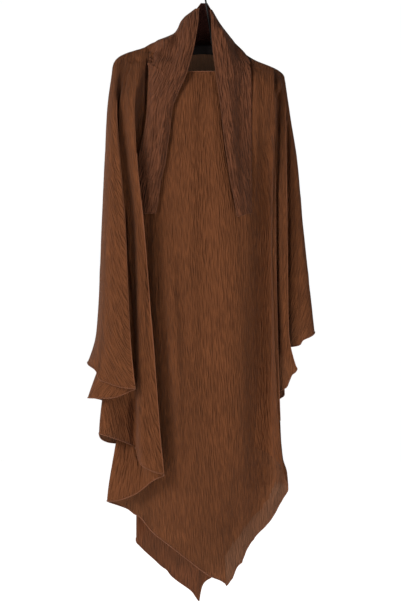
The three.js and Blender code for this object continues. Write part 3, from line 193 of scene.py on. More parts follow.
def crinkle(s, v, width, length, seed):
    """Irregular crinkles that run along v: soft ridges that wander, fork and fade."""
    drift = 0.9 * width * noise(s / (4 * width), v / (1.3 * length), seed + 11)
    a = noise((s + drift) / width, v / length, seed)
    b = noise((s - 0.6 * drift + 0.25 * v * 0.12) / (0.62 * width), v / (0.6 * length), seed + 3)
    c = noise((s + 0.10 * v) / (1.15 * width), v / (0.7 * length), seed + 5)
    fade = 0.62 + 0.38 * noise(s / (6 * width), v / (1.6 * length), seed + 7)
    return fade * (0.55 * (1 - 2 * np.abs(a)) + 0.35 * b + 0.25 * (1 - 2 * np.abs(c)))


def bump_line(d, w):
    """Soft cross-section of one crease: 1 on the line, 0 a width and a half away."""
    return np.exp(-(d / w) ** 2)


# ---------------------------------------------------------------- the cape's surface
def quarter(rows):
    pts = []
    for r in rows:
        x, y, gap = by_height(r["x"]), by_height(r["y"]), by_height(r["gap"])
        turn = r["gap"]["hip"] != 0
        for s in ((-0.5, 0.5) if turn else (0.0,)):
            pts.append(dict(x=x, y=(lambda z, y=y, gap=gap, s=s: y(z) + s * gap(z)), top=r["top"], y_top=r["y_top"], turn=turn, name=r["fold"]))
    return pts


class Quarter:
    def __init__(self, rows, hem_rows, mirror_rows, next_rows):
        self.pts = quarter(rows)
        self.before = quarter(mirror_rows)[1]
        self.after = quarter(next_rows)[-1]
        n = self.n = len(self.pts)
        idx = np.arange(n)
        self.top = smooth(idx, [p["top"] for p in self.pts])
        self.hem = smooth([r["at"] for r in hem_rows], [r["z"] for r in hem_rows])
        self.y_top = smooth(idx, [p["y_top"] for p in self.pts])
        self.end = n - 0.5

    def at(self, i):
        return self.before if i < 0 else self.after if i >= self.n else self.pts[i]

    def column(self, u, w, z=None):
        """Points down one line of the cloth. w runs from 0 at the top edge to 1 at the hem."""
        uc = min(u, self.n - 1)
        zt, zh, y0 = float(self.top(uc)), float(self.hem(u)), float(self.y_top(uc))
        if z is None:
            z = zt + (zh - zt) * w
        i = int(math.floor(u + 0.5))
        t = u + 0.5 - i
        a, b, c = self.at(i - 1), self.at(i), self.at(i + 1)
        wa, wc = 0.5 * (1 - t) ** 2, 0.5 * t * t
        wb = 1 - wa - wc
        x = wa * a["x"](z) + wb * b["x"](z) + wc * c["x"](z)
        yf = wa * a["y"](z) + wb * b["y"](z) + wc * c["y"](z)
        s = np.clip((zt - z) / SHOULDER_ROLL, 0, 1)
        y = y0 + (yf - y0) * np.sqrt(1 - (1 - s) ** 2)
        return np.stack([x, y, z], -1)

    def spread(self, count):
        """count values of u, closer together where the cloth turns."""
        u = np.linspace(0, self.end, 2400)
        z = np.array([-900.0])
        p = np.array([self.column(q, None, z)[0] for q in u])
        d = np.diff(p[:, :2], axis=0)
        ds = np.linalg.norm(d, axis=1)
        ang = np.unwrap(np.arctan2(d[:, 1], d[:, 0]))
        turn = np.abs(np.diff(ang, prepend=ang[0]))
        c = np.concatenate([[0], np.cumsum(ds + 13.0 * turn)])
        return np.interp(np.linspace(0, c[-1], count), c, u)


def panel(left, right, hems, next_left, next_right, count_left, count_right, rows, pull):
    """One cape panel as a grid of points, with each point's run across and down the cloth."""
    L, R = Quarter(left, hems[0], right, next_left), Quarter(right, hems[1], left, next_right)
    ul, ur = L.spread(count_left), R.spread(count_right)
    w = np.linspace(0, 1, rows) ** 1.28
    cols, us = [], []
    for u in ul[::-1]:
        cols.append(L.column(u, w)); us.append(-u)
    for u in ur[1:]:
        cols.append(R.column(u, w)); us.append(u)
    P = np.stack(cols, 1)
    P[:, 0, 1] += pull
    P[:, -1, 1] += pull
    mid = count_left - 1
    step = np.linalg.norm(np.diff(P, axis=1), axis=2)
    S = np.concatenate([np.zeros((rows, 1)), np.cumsum(step, 1)], 1)
    S = S - S[:, mid:mid + 1]
    V = -(P[:, :, 2])
    U = np.tile(np.array(us), (rows, 1))
    return P, S, V, U


def normals(P):
    a = np.gradient(P, axis=1)
    b = np.gradient(P, axis=0)
    n = np.cross(a, b)
    return n / np.maximum(np.linalg.norm(n, axis=2, keepdims=True), 1e-9)


def relax(P, weight, sigma):
    """Irons a sheet smooth across itself, by arc length, where weight is above 0."""
    out = P.copy()
    k = np.arange(-int(4 * sigma / 1.5), int(4 * sigma / 1.5) + 1) * 1.5
    g = np.exp(-0.5 * (k / sigma) ** 2)
    g /= g.sum()
    pad = len(k) // 2
    for i in range(P.shape[0]):
        if weight[i].max() < 0.01:
            continue
        s = np.concatenate([[0], np.cumsum(np.linalg.norm(np.diff(P[i], axis=0), axis=1))])
        q = np.arange(0, s[-1] + 1.5, 1.5)
        for c in range(3):
            v = np.interp(q, s, P[i, :, c])
            ext = np.concatenate([2 * v[0] - v[pad:0:-1], v, 2 * v[-1] - v[-2:-pad - 2:-1]])
            f = np.convolve(ext, g, "valid")
            out[i, :, c] = P[i, :, c] * (1 - weight[i]) + np.interp(s, q, f) * weight[i]
    return out


# the ridge of the shoulders, along which the front and the back meet
SHOULDER_LINE = [
    dict(x=-230, z=-246),
    dict(x=-228.7, z=-233),
    dict(x=-226.2, z=-224.4),
    dict(x=-221, z=-215.5),
    dict(x=-213.5, z=-208.6),
    dict(x=-208, z=-205),
    dict(x=-198, z=-200.2),
    dict(x=-188, z=-196.4),
    dict(x=-178, z=-193.4),
    dict(x=-168, z=-190.2),
    dict(x=-158, z=-187.6),
    dict(x=-148, z=-184),
    dict(x=-138, z=-178),
    dict(x=-128, z=-174),
    dict(x=97, z=-192),
    dict(x=107.5, z=-200.5),
    dict(x=117.6, z=-207.8),
    dict(x=127.7, z=-214),
    dict(x=137.8, z=-219),
    dict(x=148, z=-223),
    dict(x=158, z=-226.8),
    dict(x=168, z=-230.8),
    dict(x=178.3, z=-235.2),
    dict(x=188.4, z=-240.4),
    dict(x=196, z=-245.8),
    dict(x=201, z=-250.2),
    dict(x=203.6, z=-253.5),
    dict(x=206, z=-258),
    dict(x=207, z=-266),
]


def meet_on_shoulder(P, reach=46.0):
    """Carries the upper edge onto the shoulder ridge; the cloth below follows less and less."""
    pts = np.array([[r["x"], r["z"]] for r in SHOULDER_LINE], float)
    side = [pts[pts[:, 0] < 0], pts[pts[:, 0] > 0]]
    top = P[0]
    dx, dz = np.zeros(len(top)), np.zeros(len(top))
    for i, p in enumerate(top):
        line = side[0] if p[0] < 0 else side[1]
        a, b = line[:-1], line[1:]
        ab = b - a
        q = np.clip(((p[[0, 2]] - a) * ab).sum(1) / (ab * ab).sum(1), 0, 1)
        n = a + ab * q[:, None]
        j = np.argmin(((n - p[[0, 2]]) ** 2).sum(1))
        w = np.clip(1.25 - abs(p[1]) / 16.0, 0, 1)
        dx[i], dz[i] = (n[j] - p[[0, 2]]) * w
    down = top[None, :, 2] - P[:, :, 2]
    fade = np.exp(-(np.maximum(down, 0) / reach) ** 2)
    out = P.copy()
    out[:, :, 0] += dx[None, :] * fade
    out[:, :, 2] += dz[None, :] * fade
    return out


# Broad troughs (d above 0, pushed back) and ridges (d below 0) that all layers of the front share.
# One row for each point along a trough: x, z; left, right its half widths on either side; d its depth.
TROUGHS = dict(
    right_valley=[
        dict(x=161.9, z=-393.9, left=20.0, right=10.0, d=1.0),
        dict(x=164.4, z=-448.8, left=30.0, right=10.0, d=7.0),
        dict(x=169.4, z=-523.5, left=35.0, right=10.0, d=12.0),
        dict(x=169.4, z=-673.0, left=37.5, right=10.0, d=18.0),
        dict(x=169.4, z=-822.5, left=37.5, right=10.0, d=22.0),
        dict(x=169.4, z=-972.0, left=37.5, right=10.0, d=23.0),
        dict(x=169.4, z=-1121.5, left=40.0, right=10.0, d=22.0),
        dict(x=169.4, z=-1221.2, left=40.0, right=12.5, d=17.0),
        dict(x=164.4, z=-1308.4, left=40.0, right=15.0, d=11.0),
        dict(x=147.0, z=-1383.1, left=35.0, right=20.0, d=6.0),
    ],
    right_side=[
        dict(x=161.9, z=-393.9, left=35.0, right=15.0, d=1.0),
        dict(x=164.4, z=-473.7, left=50.0, right=12.5, d=6.0),
        dict(x=166.9, z=-573.3, left=60.0, right=12.5, d=10.0),
        dict(x=169.4, z=-673.0, left=65.0, right=12.5, d=13.0),
        dict(x=171.9, z=-822.5, left=70.0, right=12.5, d=14.0),
        dict(x=174.4, z=-972.0, left=77.5, right=15.0, d=16.0),
        dict(x=179.4, z=-1121.5, left=85.0, right=17.5, d=20.0),
        dict(x=189.3, z=-1221.2, left=95.0, right=20.0, d=29.0),
        dict(x=191.8, z=-1308.4, left=100.0, right=25.0, d=40.0),
        dict(x=176.9, z=-1383.1, left=100.0, right=30.0, d=38.0),
        dict(x=127.1, z=-1445.4, left=75.0, right=30.0, d=24.0),
        dict(x=87.2, z=-1477.8, left=45.0, right=25.0, d=10.0),
    ],
    right_fill2=[
        dict(x=127.1, z=-229.5, left=15.0, right=40.0, d=-12.0),
        dict(x=129.5, z=-269.4, left=20.0, right=40.0, d=-15.0),
        dict(x=129.5, z=-311.7, left=20.0, right=37.5, d=-10.0),
        dict(x=129.5, z=-374.0, left=20.0, right=30.0, d=-6.0),
        dict(x=129.5, z=-436.3, left=20.0, right=20.0, d=-2.0),
        dict(x=129.5, z=-486.1, left=20.0, right=20.0, d=-0.5),
    ],
    right_fill=[
        dict(x=166.9, z=-229.5, left=35.0, right=45.0, d=-5.0),
        dict(x=171.9, z=-269.4, left=40.0, right=40.0, d=-11.0),
        dict(x=169.4, z=-311.7, left=45.0, right=22.5, d=-14.0),
        dict(x=161.9, z=-374.0, left=45.0, right=17.5, d=-14.0),
        dict(x=144.5, z=-448.8, left=35.0, right=20.0, d=-10.0),
        dict(x=132.0, z=-523.5, left=22.5, right=17.5, d=-4.0),
        dict(x=132.0, z=-585.8, left=22.5, right=17.5, d=-0.5),
    ],
    recess=[
        dict(x=-171.9, z=-1074.2, left=50.0, right=5.0, d=14.0),
        dict(x=-169.5, z=-1109.0, left=47.5, right=5.0, d=30.0),
        dict(x=-168.2, z=-1171.3, left=47.5, right=5.0, d=34.0),
        dict(x=-164.5, z=-1208.7, left=47.5, right=7.5, d=27.0),
        dict(x=-152.0, z=-1246.1, left=50.0, right=12.5, d=13.0),
        dict(x=-142.0, z=-1276.0, left=50.0, right=20.0, d=5.0),
    ],
    left_ridge=[
        dict(x=-92.2, z=-710.4, left=20.0, right=17.5, d=-1.0),
        dict(x=-82.2, z=-797.6, left=25.0, right=20.0, d=-5.0),
        dict(x=-72.3, z=-897.3, left=30.0, right=20.0, d=-8.0),
        dict(x=-64.8, z=-972.0, left=32.5, right=22.5, d=-10.0),
        dict(x=-54.8, z=-1071.7, left=37.5, right=25.0, d=-11.0),
        dict(x=-47.4, z=-1171.3, left=40.0, right=27.5, d=-11.0),
        dict(x=-39.9, z=-1271.0, left=37.5, right=30.0, d=-9.0),
        dict(x=-32.4, z=-1370.7, left=30.0, right=32.5, d=-5.0),
        dict(x=-22.4, z=-1445.4, left=25.0, right=32.5, d=-1.0),
    ],
    left_dip=[
        dict(x=-54.8, z=-697.9, left=15.0, right=17.5, d=0.5),
        dict(x=-52.3, z=-785.1, left=17.5, right=17.5, d=2.0),
        dict(x=-47.4, z=-872.3, left=15.0, right=17.5, d=3.0),
        dict(x=-32.4, z=-959.5, left=15.0, right=17.5, d=2.5),
        dict(x=-15.0, z=-1071.7, left=17.5, right=17.5, d=1.5),
        dict(x=-2.5, z=-1171.3, left=20.0, right=20.0, d=1.0),
    ],
    left_fill=[
        dict(x=-152.0, z=-229.5, left=20.0, right=17.5, d=-0.5),
        dict(x=-152.0, z=-286.8, left=20.0, right=20.0, d=-4.0),
        dict(x=-153.3, z=-349.1, left=20.0, right=20.0, d=-6.0),
        dict(x=-157.0, z=-423.8, left=17.5, right=20.0, d=-6.0),
        dict(x=-164.5, z=-486.1, left=17.5, right=17.5, d=-3.0),
        dict(x=-171.9, z=-536.0, left=15.0, right=17.5, d=-0.5),
    ],
    tie_shade=[
        dict(x=-137.1, z=-239.5, left=12.5, right=10.0, d=0.5),
        dict(x=-133.3, z=-299.3, left=15.0, right=10.0, d=2.5),
        dict(x=-135.8, z=-349.1, left=15.0, right=10.0, d=4.0),
        dict(x=-149.5, z=-423.8, left=15.0, right=12.5, d=4.0),
        dict(x=-154.5, z=-498.6, left=12.5, right=15.0, d=3.0),
        dict(x=-152.0, z=-573.3, left=12.5, right=15.0, d=3.0),
        dict(x=-149.5, z=-635.6, left=12.5, right=20.0, d=2.0),
    ],
)


def share_troughs(P, table):
    """Push the layers of a deep fold back together, the nearest the most, so that none passes another."""
    out = P.copy()
    X, Y, Z = P[:, :, 0], P[:, :, 1], P[:, :, 2]
    total = np.zeros(X.shape)
    for rows in table.values():
        f = {k: smooth([r["z"] for r in rows], [r[k] for r in rows]) for k in ("x", "left", "right", "d")}
        zs = [r["z"] for r in rows]
        zc = np.clip(Z, min(zs), max(zs))
        off = X - f["x"](zc)
        wide = np.where(off < 0, f["left"](zc), f["right"](zc))
        ends = np.clip((Z - min(zs) + 40) / 40.0, 0, 1) * np.clip((max(zs) + 40 - Z) / 40.0, 0, 1)
        total += f["d"](zc) * np.exp(-(off / wide) ** 2) * ends
    span = 14.0 + 2.3 * np.abs(total)
    h = np.clip((-38.0 + span - Y) / span, 0, 1)
    out[:, :, 1] += total * h * h * (3 - 2 * h)
    return out


# ---------------------------------------------------------------- meshes
def make_mesh(name, verts, faces, uvs=None, smooth_shade=True):
    me = bpy.data.meshes.new(name)
    verts = np.asarray(verts, np.float32) * MM
    faces = np.asarray(faces, np.int32)
    k = faces.shape[1]
    me.vertices.add(len(verts))
    me.vertices.foreach_set("co", verts.ravel())
    me.loops.add(faces.size)
    me.loops.foreach_set("vertex_index", faces.ravel())
    me.polygons.add(len(faces))
    me.polygons.foreach_set("loop_start", np.arange(0, faces.size, k, dtype=np.int32))
    me.polygons.foreach_set("loop_total", np.full(len(faces), k, np.int32))
    me.update(calc_edges=True)
    if uvs is not None:
        layer = me.uv_layers.new(name="cloth")
        layer.data.foreach_set("uv", np.asarray(uvs, np.float32)[faces.ravel()].ravel())
    if smooth_shade:
        me.polygons.foreach_set("use_smooth", np.ones(len(faces), bool))
    me.validate()
    ob = bpy.data.objects.new(name, me)
    bpy.context.scene.collection.objects.link(ob)
    return ob


def sheet_object(name, P, S, V):
    R, C = P.shape[:2]
    idx = np.arange(R * C).reshape(R, C)
    faces = np.stack([idx[:-1, :-1], idx[1:, :-1], idx[1:, 1:], idx[:-1, 1:]], -1).reshape(-1, 4)
    return make_mesh(name, P.reshape(-1, 3), faces, np.stack([S, V], -1).reshape(-1, 2) * MM)


def tube_object(name, path, radius, sides=8, closed=False, squash=1.0, uv_start=0.0):
    """A round bead along a path of points, with closed ends."""
    path = np.asarray(path, float)
    go = np.concatenate([[0], np.cumsum(np.linalg.norm(np.diff(path, axis=0), axis=1))])
    keep = np.concatenate([[True], np.diff(np.floor(go / 0.9)) > 0])
    keep[-1] = True
    path = path[keep]
    n = len(path)
    tan = np.gradient(path, axis=0)
    tan /= np.maximum(np.linalg.norm(tan, axis=1, keepdims=True), 1e-9)
    ref = np.array([0.0, -1.0, 0.0])
    side = np.cross(tan, ref)
    bad = np.linalg.norm(side, axis=1) < 0.15
    side[bad] = np.cross(tan[bad], np.array([0.0, 0.0, 1.0]))
    for i in range(1, n):
        if np.dot(side[i], side[i - 1]) < 0:
            side[i] *= -1
    side /= np.maximum(np.linalg.norm(side, axis=1, keepdims=True), 1e-9)
    up = np.cross(side, tan)
    rad = np.full(n, radius) if np.isscalar(radius) else np.asarray(radius)[keep]
    run = np.concatenate([[0], np.cumsum(np.linalg.norm(np.diff(path, axis=0), axis=1))]) + uv_start
    verts, uvs = [], []
    for k in range(sides):
        q = 2 * math.pi * k / sides
        verts.append(path + side * (rad * math.cos(q))[:, None] + up * (rad * squash * math.sin(q))[:, None])
        uvs.append(np.stack([np.full(n, rad.mean() * q), run], -1))
    V = np.stack(verts, 1).reshape(-1, 3)
    T = np.stack(uvs, 1).reshape(-1, 2)
    idx = np.arange(n * sides).reshape(n, sides)
    nxt = np.roll(idx, -1, axis=1)
    faces = np.stack([idx[:-1], idx[1:], nxt[1:], nxt[:-1]], -1).reshape(-1, 4).tolist()
    base = len(V)
    V = np.concatenate([V, path[:1], path[-1:]])
    T = np.concatenate([T, [[0, run[0]]], [[0, run[-1]]]])
    caps = []
    for k in range(sides):
        caps.append((idx[0, k], idx[0, (k + 1) % sides], base))
        caps.append((idx[-1, (k + 1) % sides], idx[-1, k], base + 1))
    me = bpy.data.meshes.new(name)
    me.from_pydata((V * MM).tolist(), [], faces + caps)
    layer = me.uv_layers.new(name="cloth")
    vi = np.zeros(len(me.loops), np.int32)
    me.loops.foreach_get("vertex_index", vi)
    layer.data.foreach_set("uv", (T[vi] * MM).astype(np.float32).ravel())
    me.polygons.foreach_set("use_smooth", np.ones(len(me.polygons), bool))
    me.validate()
    me.update()
    ob = bpy.data.objects.new(name, me)
    bpy.context.scene.collection.objects.link(ob)
    return ob


def join_objects(name, obs):
    """Several plain meshes made into one piece."""
    dg = obs[0]
    for o in bpy.context.selected_objects:
        o.select_set(False)
    with bpy.context.temp_override(active_object=dg, selected_editable_objects=obs, object=dg):
        bpy.ops.object.join()
    dg.name = name
    dg.data.name = name
    return dg


def surface_area(P):
    a = np.linalg.norm(np.cross(P[1:, :-1] - P[:-1, :-1], P[:-1, 1:] - P[:-1, :-1]), axis=2)
    b = np.linalg.norm(np.cross(P[1:, :-1] - P[1:, 1:], P[:-1, 1:] - P[1:, 1:]), axis=2)
    return 0.5 * (a.sum() + b.sum()) * 1e-6


# ---------------------------------------------------------------- materials
def new_material(name):
    m = bpy.data.materials.new(name)
    m.use_nodes = True
    nt = m.node_tree
    for n in list(nt.nodes):
        nt.nodes.remove(n)
    out = nt.nodes.new("ShaderNodeOutputMaterial")
    bs = nt.nodes.new("ShaderNodeBsdfPrincipled")
    nt.links.new(bs.outputs["BSDF"], out.inputs["Surface"])
    return m, nt, bs


def uv_noise(nt, scale_u, scale_v, detail=2.0, rough=0.5, distortion=0.0):
    """Noise in the cloth's own coordinates; scale_u and scale_v are cells a metre across and down."""
    tc = nt.nodes.new("ShaderNodeUVMap")
    tc.uv_map = "cloth"
    mp = nt.nodes.new("ShaderNodeMapping")
    mp.inputs["Scale"].default_value = (scale_u, scale_v, 1.0)
    nz = nt.nodes.new("ShaderNodeTexNoise")
    nz.noise_dimensions = "3D"
    nz.inputs["Scale"].default_value = 1.0
    nz.inputs["Detail"].default_value = detail
    nz.inputs["Roughness"].default_value = rough
    nz.inputs["Distortion"].default_value = distortion
    nt.links.new(tc.outputs["UV"], mp.inputs["Vector"])
    nt.links.new(mp.outputs["Vector"], nz.inputs["Vector"])
    return nz.outputs["Fac"]


def ramp(nt, fac, stops):
    r = nt.nodes.new("ShaderNodeValToRGB")
    el = r.color_ramp.elements
    el[0].position, el[0].color = stops[0][0], (*stops[0][1], 1)
    el[1].position, el[1].color = stops[-1][0], (*stops[-1][1], 1)
    for p, c in stops[1:-1]:
        e = el.new(p)
        e.color = (*c, 1)
    nt.links.new(fac, r.inputs["Fac"])
    return r.outputs["Color"]


def mix(nt, a, b, fac, kind="MIX"):
    m = nt.nodes.new("ShaderNodeMix")
    m.data_type = "RGBA"
    m.blend_type = kind
    if hasattr(fac, "links"):
        nt.links.new(fac, m.inputs[0])
    else:
        m.inputs[0].default_value = fac
    nt.links.new(a, m.inputs[6])
    nt.links.new(b, m.inputs[7])
    return m.outputs[2]


def math_node(nt, kind, a, b=None):
    m = nt.nodes.new("ShaderNodeMath")
    m.operation = kind
    for i, v in enumerate((a, b)):
        if v is None:
            continue
        if hasattr(v, "links"):
            nt.links.new(v, m.inputs[i])
        else:
            m.inputs[i].default_value = v
    return m.outputs[0]


def ridged(nt, fac):
    """1 along crinkle lines, falling off to either side."""
    return math_node(nt, "SUBTRACT", 1.0, math_node(nt, "MULTIPLY", math_node(nt, "ABSOLUTE", math_node(nt, "SUBTRACT", fac, 0.5)), 4.5))


def crepe(name, dark, mid, light, height=0.0045, across=330, along=28, sheen=0.03, through=0.04, low=0.84, high=1.17):
    """Matt crinkled crepe: slow drifts of tone, upright crinkles that wander and fork, and a fine pebbled grain; the
    crinkles' shade and light are also painted into the colour.
    """
    m, nt, bs = new_material(name)
    broad = uv_noise(nt, 7, 4, 3, 0.55)
    lines = uv_noise(nt, across, along, 0.0, 0.5, 0.3)
    fine = uv_noise(nt, across * 1.45, along * 1.6, 0.0, 0.5, 0.3)
    grain = uv_noise(nt, 520, 380, 2, 0.6)
    h = math_node(nt, "ADD", math_node(nt, "MULTIPLY", lines, 1.0), math_node(nt, "MULTIPLY", fine, 0.8))
    base = ramp(nt, broad, [(0.30, dark), (0.52, mid), (0.74, light)])
    # painted shade and highlight: the colour darkens and lightens with the crinkle height h, the same height that
    # drives the bump
    st = ramp(nt, h, [(0.68, (low, low * 0.98, low * 0.97)), (0.90, (1.0, 1.0, 1.0)), (1.12, (high, high, high))])
    gr = ramp(nt, grain, [(0.30, (0.90, 0.90, 0.90)), (0.70, (1.10, 1.10, 1.10))])
    # the crinkles are stronger in some places than in others
    where = ramp(nt, uv_noise(nt, 16, 7, 1.0, 0.5), [(0.36, (0.45, 0.45, 0.45)), (0.62, (1.0, 1.0, 1.0))])
    c = mix(nt, base, st, where, "MULTIPLY")
    c = mix(nt, c, gr, 0.8, "MULTIPLY")
    nt.links.new(c, bs.inputs["Base Color"])
    b1 = nt.nodes.new("ShaderNodeBump")
    b1.inputs["Strength"].default_value = 1.0
    b1.inputs["Distance"].default_value = height
    nt.links.new(h, b1.inputs["Height"])
    b2 = nt.nodes.new("ShaderNodeBump")
    b2.inputs["Strength"].default_value = 0.5
    b2.inputs["Distance"].default_value = 0.0003
    nt.links.new(grain, b2.inputs["Height"])
    nt.links.new(b1.outputs["Normal"], b2.inputs["Normal"])
    nt.links.new(b2.outputs["Normal"], bs.inputs["Normal"])
    bs.inputs["Roughness"].default_value = 0.9
    bs.inputs["Specular IOR Level"].default_value = 0.12
    bs.inputs["Sheen Weight"].default_value = sheen
    bs.inputs["Sheen Roughness"].default_value = 0.45
    bs.inputs["Sheen Tint"].default_value = (1.0, 0.84, 0.76, 1)
    if through > 0:
        # thin crepe: where only one layer hangs, some of the light behind it comes through
        tr = nt.nodes.new("ShaderNodeBsdfTranslucent")
        tr.inputs["Color"].default_value = (0.62, 0.36, 0.22, 1)
        both = nt.nodes.new("ShaderNodeMixShader")
        both.inputs[0].default_value = through
        nt.links.new(bs.outputs["BSDF"], both.inputs[1])
        nt.links.new(tr.outputs["BSDF"], both.inputs[2])
        out = [n for n in nt.nodes if n.type == "OUTPUT_MATERIAL"][0]
        nt.links.new(both.outputs["Shader"], out.inputs["Surface"])
    return m


CREPE = crepe("crepe", (0.1085, 0.0356, 0.0122), (0.1209, 0.0396, 0.0137), (0.1333, 0.0438, 0.0151))
# painted light: the lone layer low on the right is the same dye painted lighter and greyer for the light behind it, on
# top of real translucency
CREPE_SINGLE_PAINTED_BACKLIGHT = crepe("crepe_single_painted_backlight", (0.118, 0.0450, 0.0205), (0.131, 0.0500, 0.0230), (0.146, 0.0560, 0.0258), height=0.0060, through=0.08, low=0.76, high=1.26)
# painted shade: the crown takes a darker copy of the same dye for the shade it lies in
CREPE_FOLD_PAINTED_SHADE = crepe("crepe_fold_painted_shade", (0.0949, 0.0322, 0.0133), (0.1062, 0.0359, 0.0149), (0.1175, 0.0398, 0.0165), height=0.0045, through=0.03)
# painted shade: the back panel is the same dye as the front, set darker and redder for the shade it hangs in
CREPE_BACK_PAINTED_SHADE = crepe("crepe_back_painted_shade", (0.0933, 0.0274, 0.0094), (0.1040, 0.0305, 0.0105), (0.1146, 0.0337, 0.0116), through=0.04)
# painted shade: the hood fronts and ties take a darker copy of the same dye for the shade they lie in
CREPE_STRIP_PAINTED_SHADE = crepe("crepe_strip", (0.0904, 0.0305, 0.0133), (0.1040, 0.0356, 0.0156), (0.1198, 0.0412, 0.0183), height=0.0075, across=250, along=30, through=0.03, low=0.74, high=1.28)
# painted highlight: the rolled hems and the crown seam take a lighter copy of the dye for the light their edges catch
CREPE_HEM_PAINTED_HIGHLIGHT = crepe("crepe_hem_painted_highlight", (0.128, 0.0445, 0.0190), (0.142, 0.0500, 0.0215), (0.158, 0.0565, 0.0245), height=0.0006, low=0.92, high=1.08, sheen=0.15, through=0.0)
# painted highlight: the hood and tie hems take a copy of the strip's dye a little lighter for the light their edges
# catch
CREPE_STRIP_HEM_PAINTED_HIGHLIGHT = crepe("crepe_strip_hem", (0.098, 0.0340, 0.0150), (0.110, 0.0385, 0.0170), (0.122, 0.0430, 0.0195), height=0.0006, low=0.92, high=1.08, sheen=0.12, through=0.0)
# painted highlight: a much lighter copy of the dye for the beads along the turned fold edges, standing for the light
# those edges catch
CREPE_RIM_PAINTED_HIGHLIGHT = crepe("crepe_rim_painted_highlight", (0.165, 0.0570, 0.0235), (0.180, 0.0620, 0.0255), (0.196, 0.0680, 0.0280), height=0.0006, low=0.92, high=1.08, sheen=0.12, through=0.0)
# painted shade: nearly black brown for the inner skin of the crown, standing for the dark inside of the hood
CREPE_INSIDE_PAINTED_SHADE = crepe("crepe_inside_painted_shade", (0.040, 0.012, 0.0085), (0.050, 0.015, 0.0105), (0.060, 0.018, 0.0125), height=0.0030, sheen=0.0, through=0.0)


def moulded(name, colour, rough, metal=0.0, scale=900.0, strength=0.12):
    m, nt, bs = new_material(name)
    tc = nt.nodes.new("ShaderNodeTexCoord")
    nz = nt.nodes.new("ShaderNodeTexNoise")
    nz.inputs["Scale"].default_value = scale
    nz.inputs["Detail"].default_value = 2.0
    nt.links.new(tc.outputs["Object"], nz.inputs["Vector"])
    lo = tuple(c * 0.85 for c in colour)
    hi = tuple(min(1.0, c * 1.2) for c in colour)
    nt.links.new(ramp(nt, nz.outputs["Fac"], [(0.3, lo), (0.7, hi)]), bs.inputs["Base Color"])
    bp = nt.nodes.new("ShaderNodeBump")
    bp.inputs["Strength"].default_value = strength
    bp.inputs["Distance"].default_value = 0.0002
    nt.links.new(nz.outputs["Fac"], bp.inputs["Height"])
    nt.links.new(bp.outputs["Normal"], bs.inputs["Normal"])
    bs.inputs["Roughness"].default_value = rough
    bs.inputs["Specular IOR Level"].default_value = 0.2
    bs.inputs["Metallic"].default_value = metal
    return m


PLASTIC = moulded("hanger_plastic", (0.0065, 0.0040, 0.0036), 0.9)
WIRE = moulded("hook_wire", (0.012, 0.011, 0.010), 0.5, 0.0, 400.0, 0.05)


def finish_piece(ob, mat, replaces=()):
    ob.data.materials.clear()
    ob.data.materials.append(mat)
    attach(ob, "root")
    for n in replaces:
        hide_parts(n)
    return ob


# ---------------------------------------------------------------- creases, listed one by one
# One row for each crease: where it starts and ends across and up, its half width, and how far
# it stands out (+, a soft ridge) or in (-, a trough).
# the inner edge of the stretch of the front, low on the right, with no second layer behind it
SINGLE_EDGE = [
    dict(x=32.5, z=-1508.3),
    dict(x=42.6, z=-1493.2),
    dict(x=55.1, z=-1468.2),
    dict(x=67.6, z=-1448.2),
    dict(x=82.6, z=-1425.7),
    dict(x=100.1, z=-1403.1),
    dict(x=122.6, z=-1378.1),
    dict(x=147.7, z=-1350.6),
    dict(x=162.7, z=-1330.6),
    dict(x=177.7, z=-1298.0),
    dict(x=180.2, z=-1288.0),
]
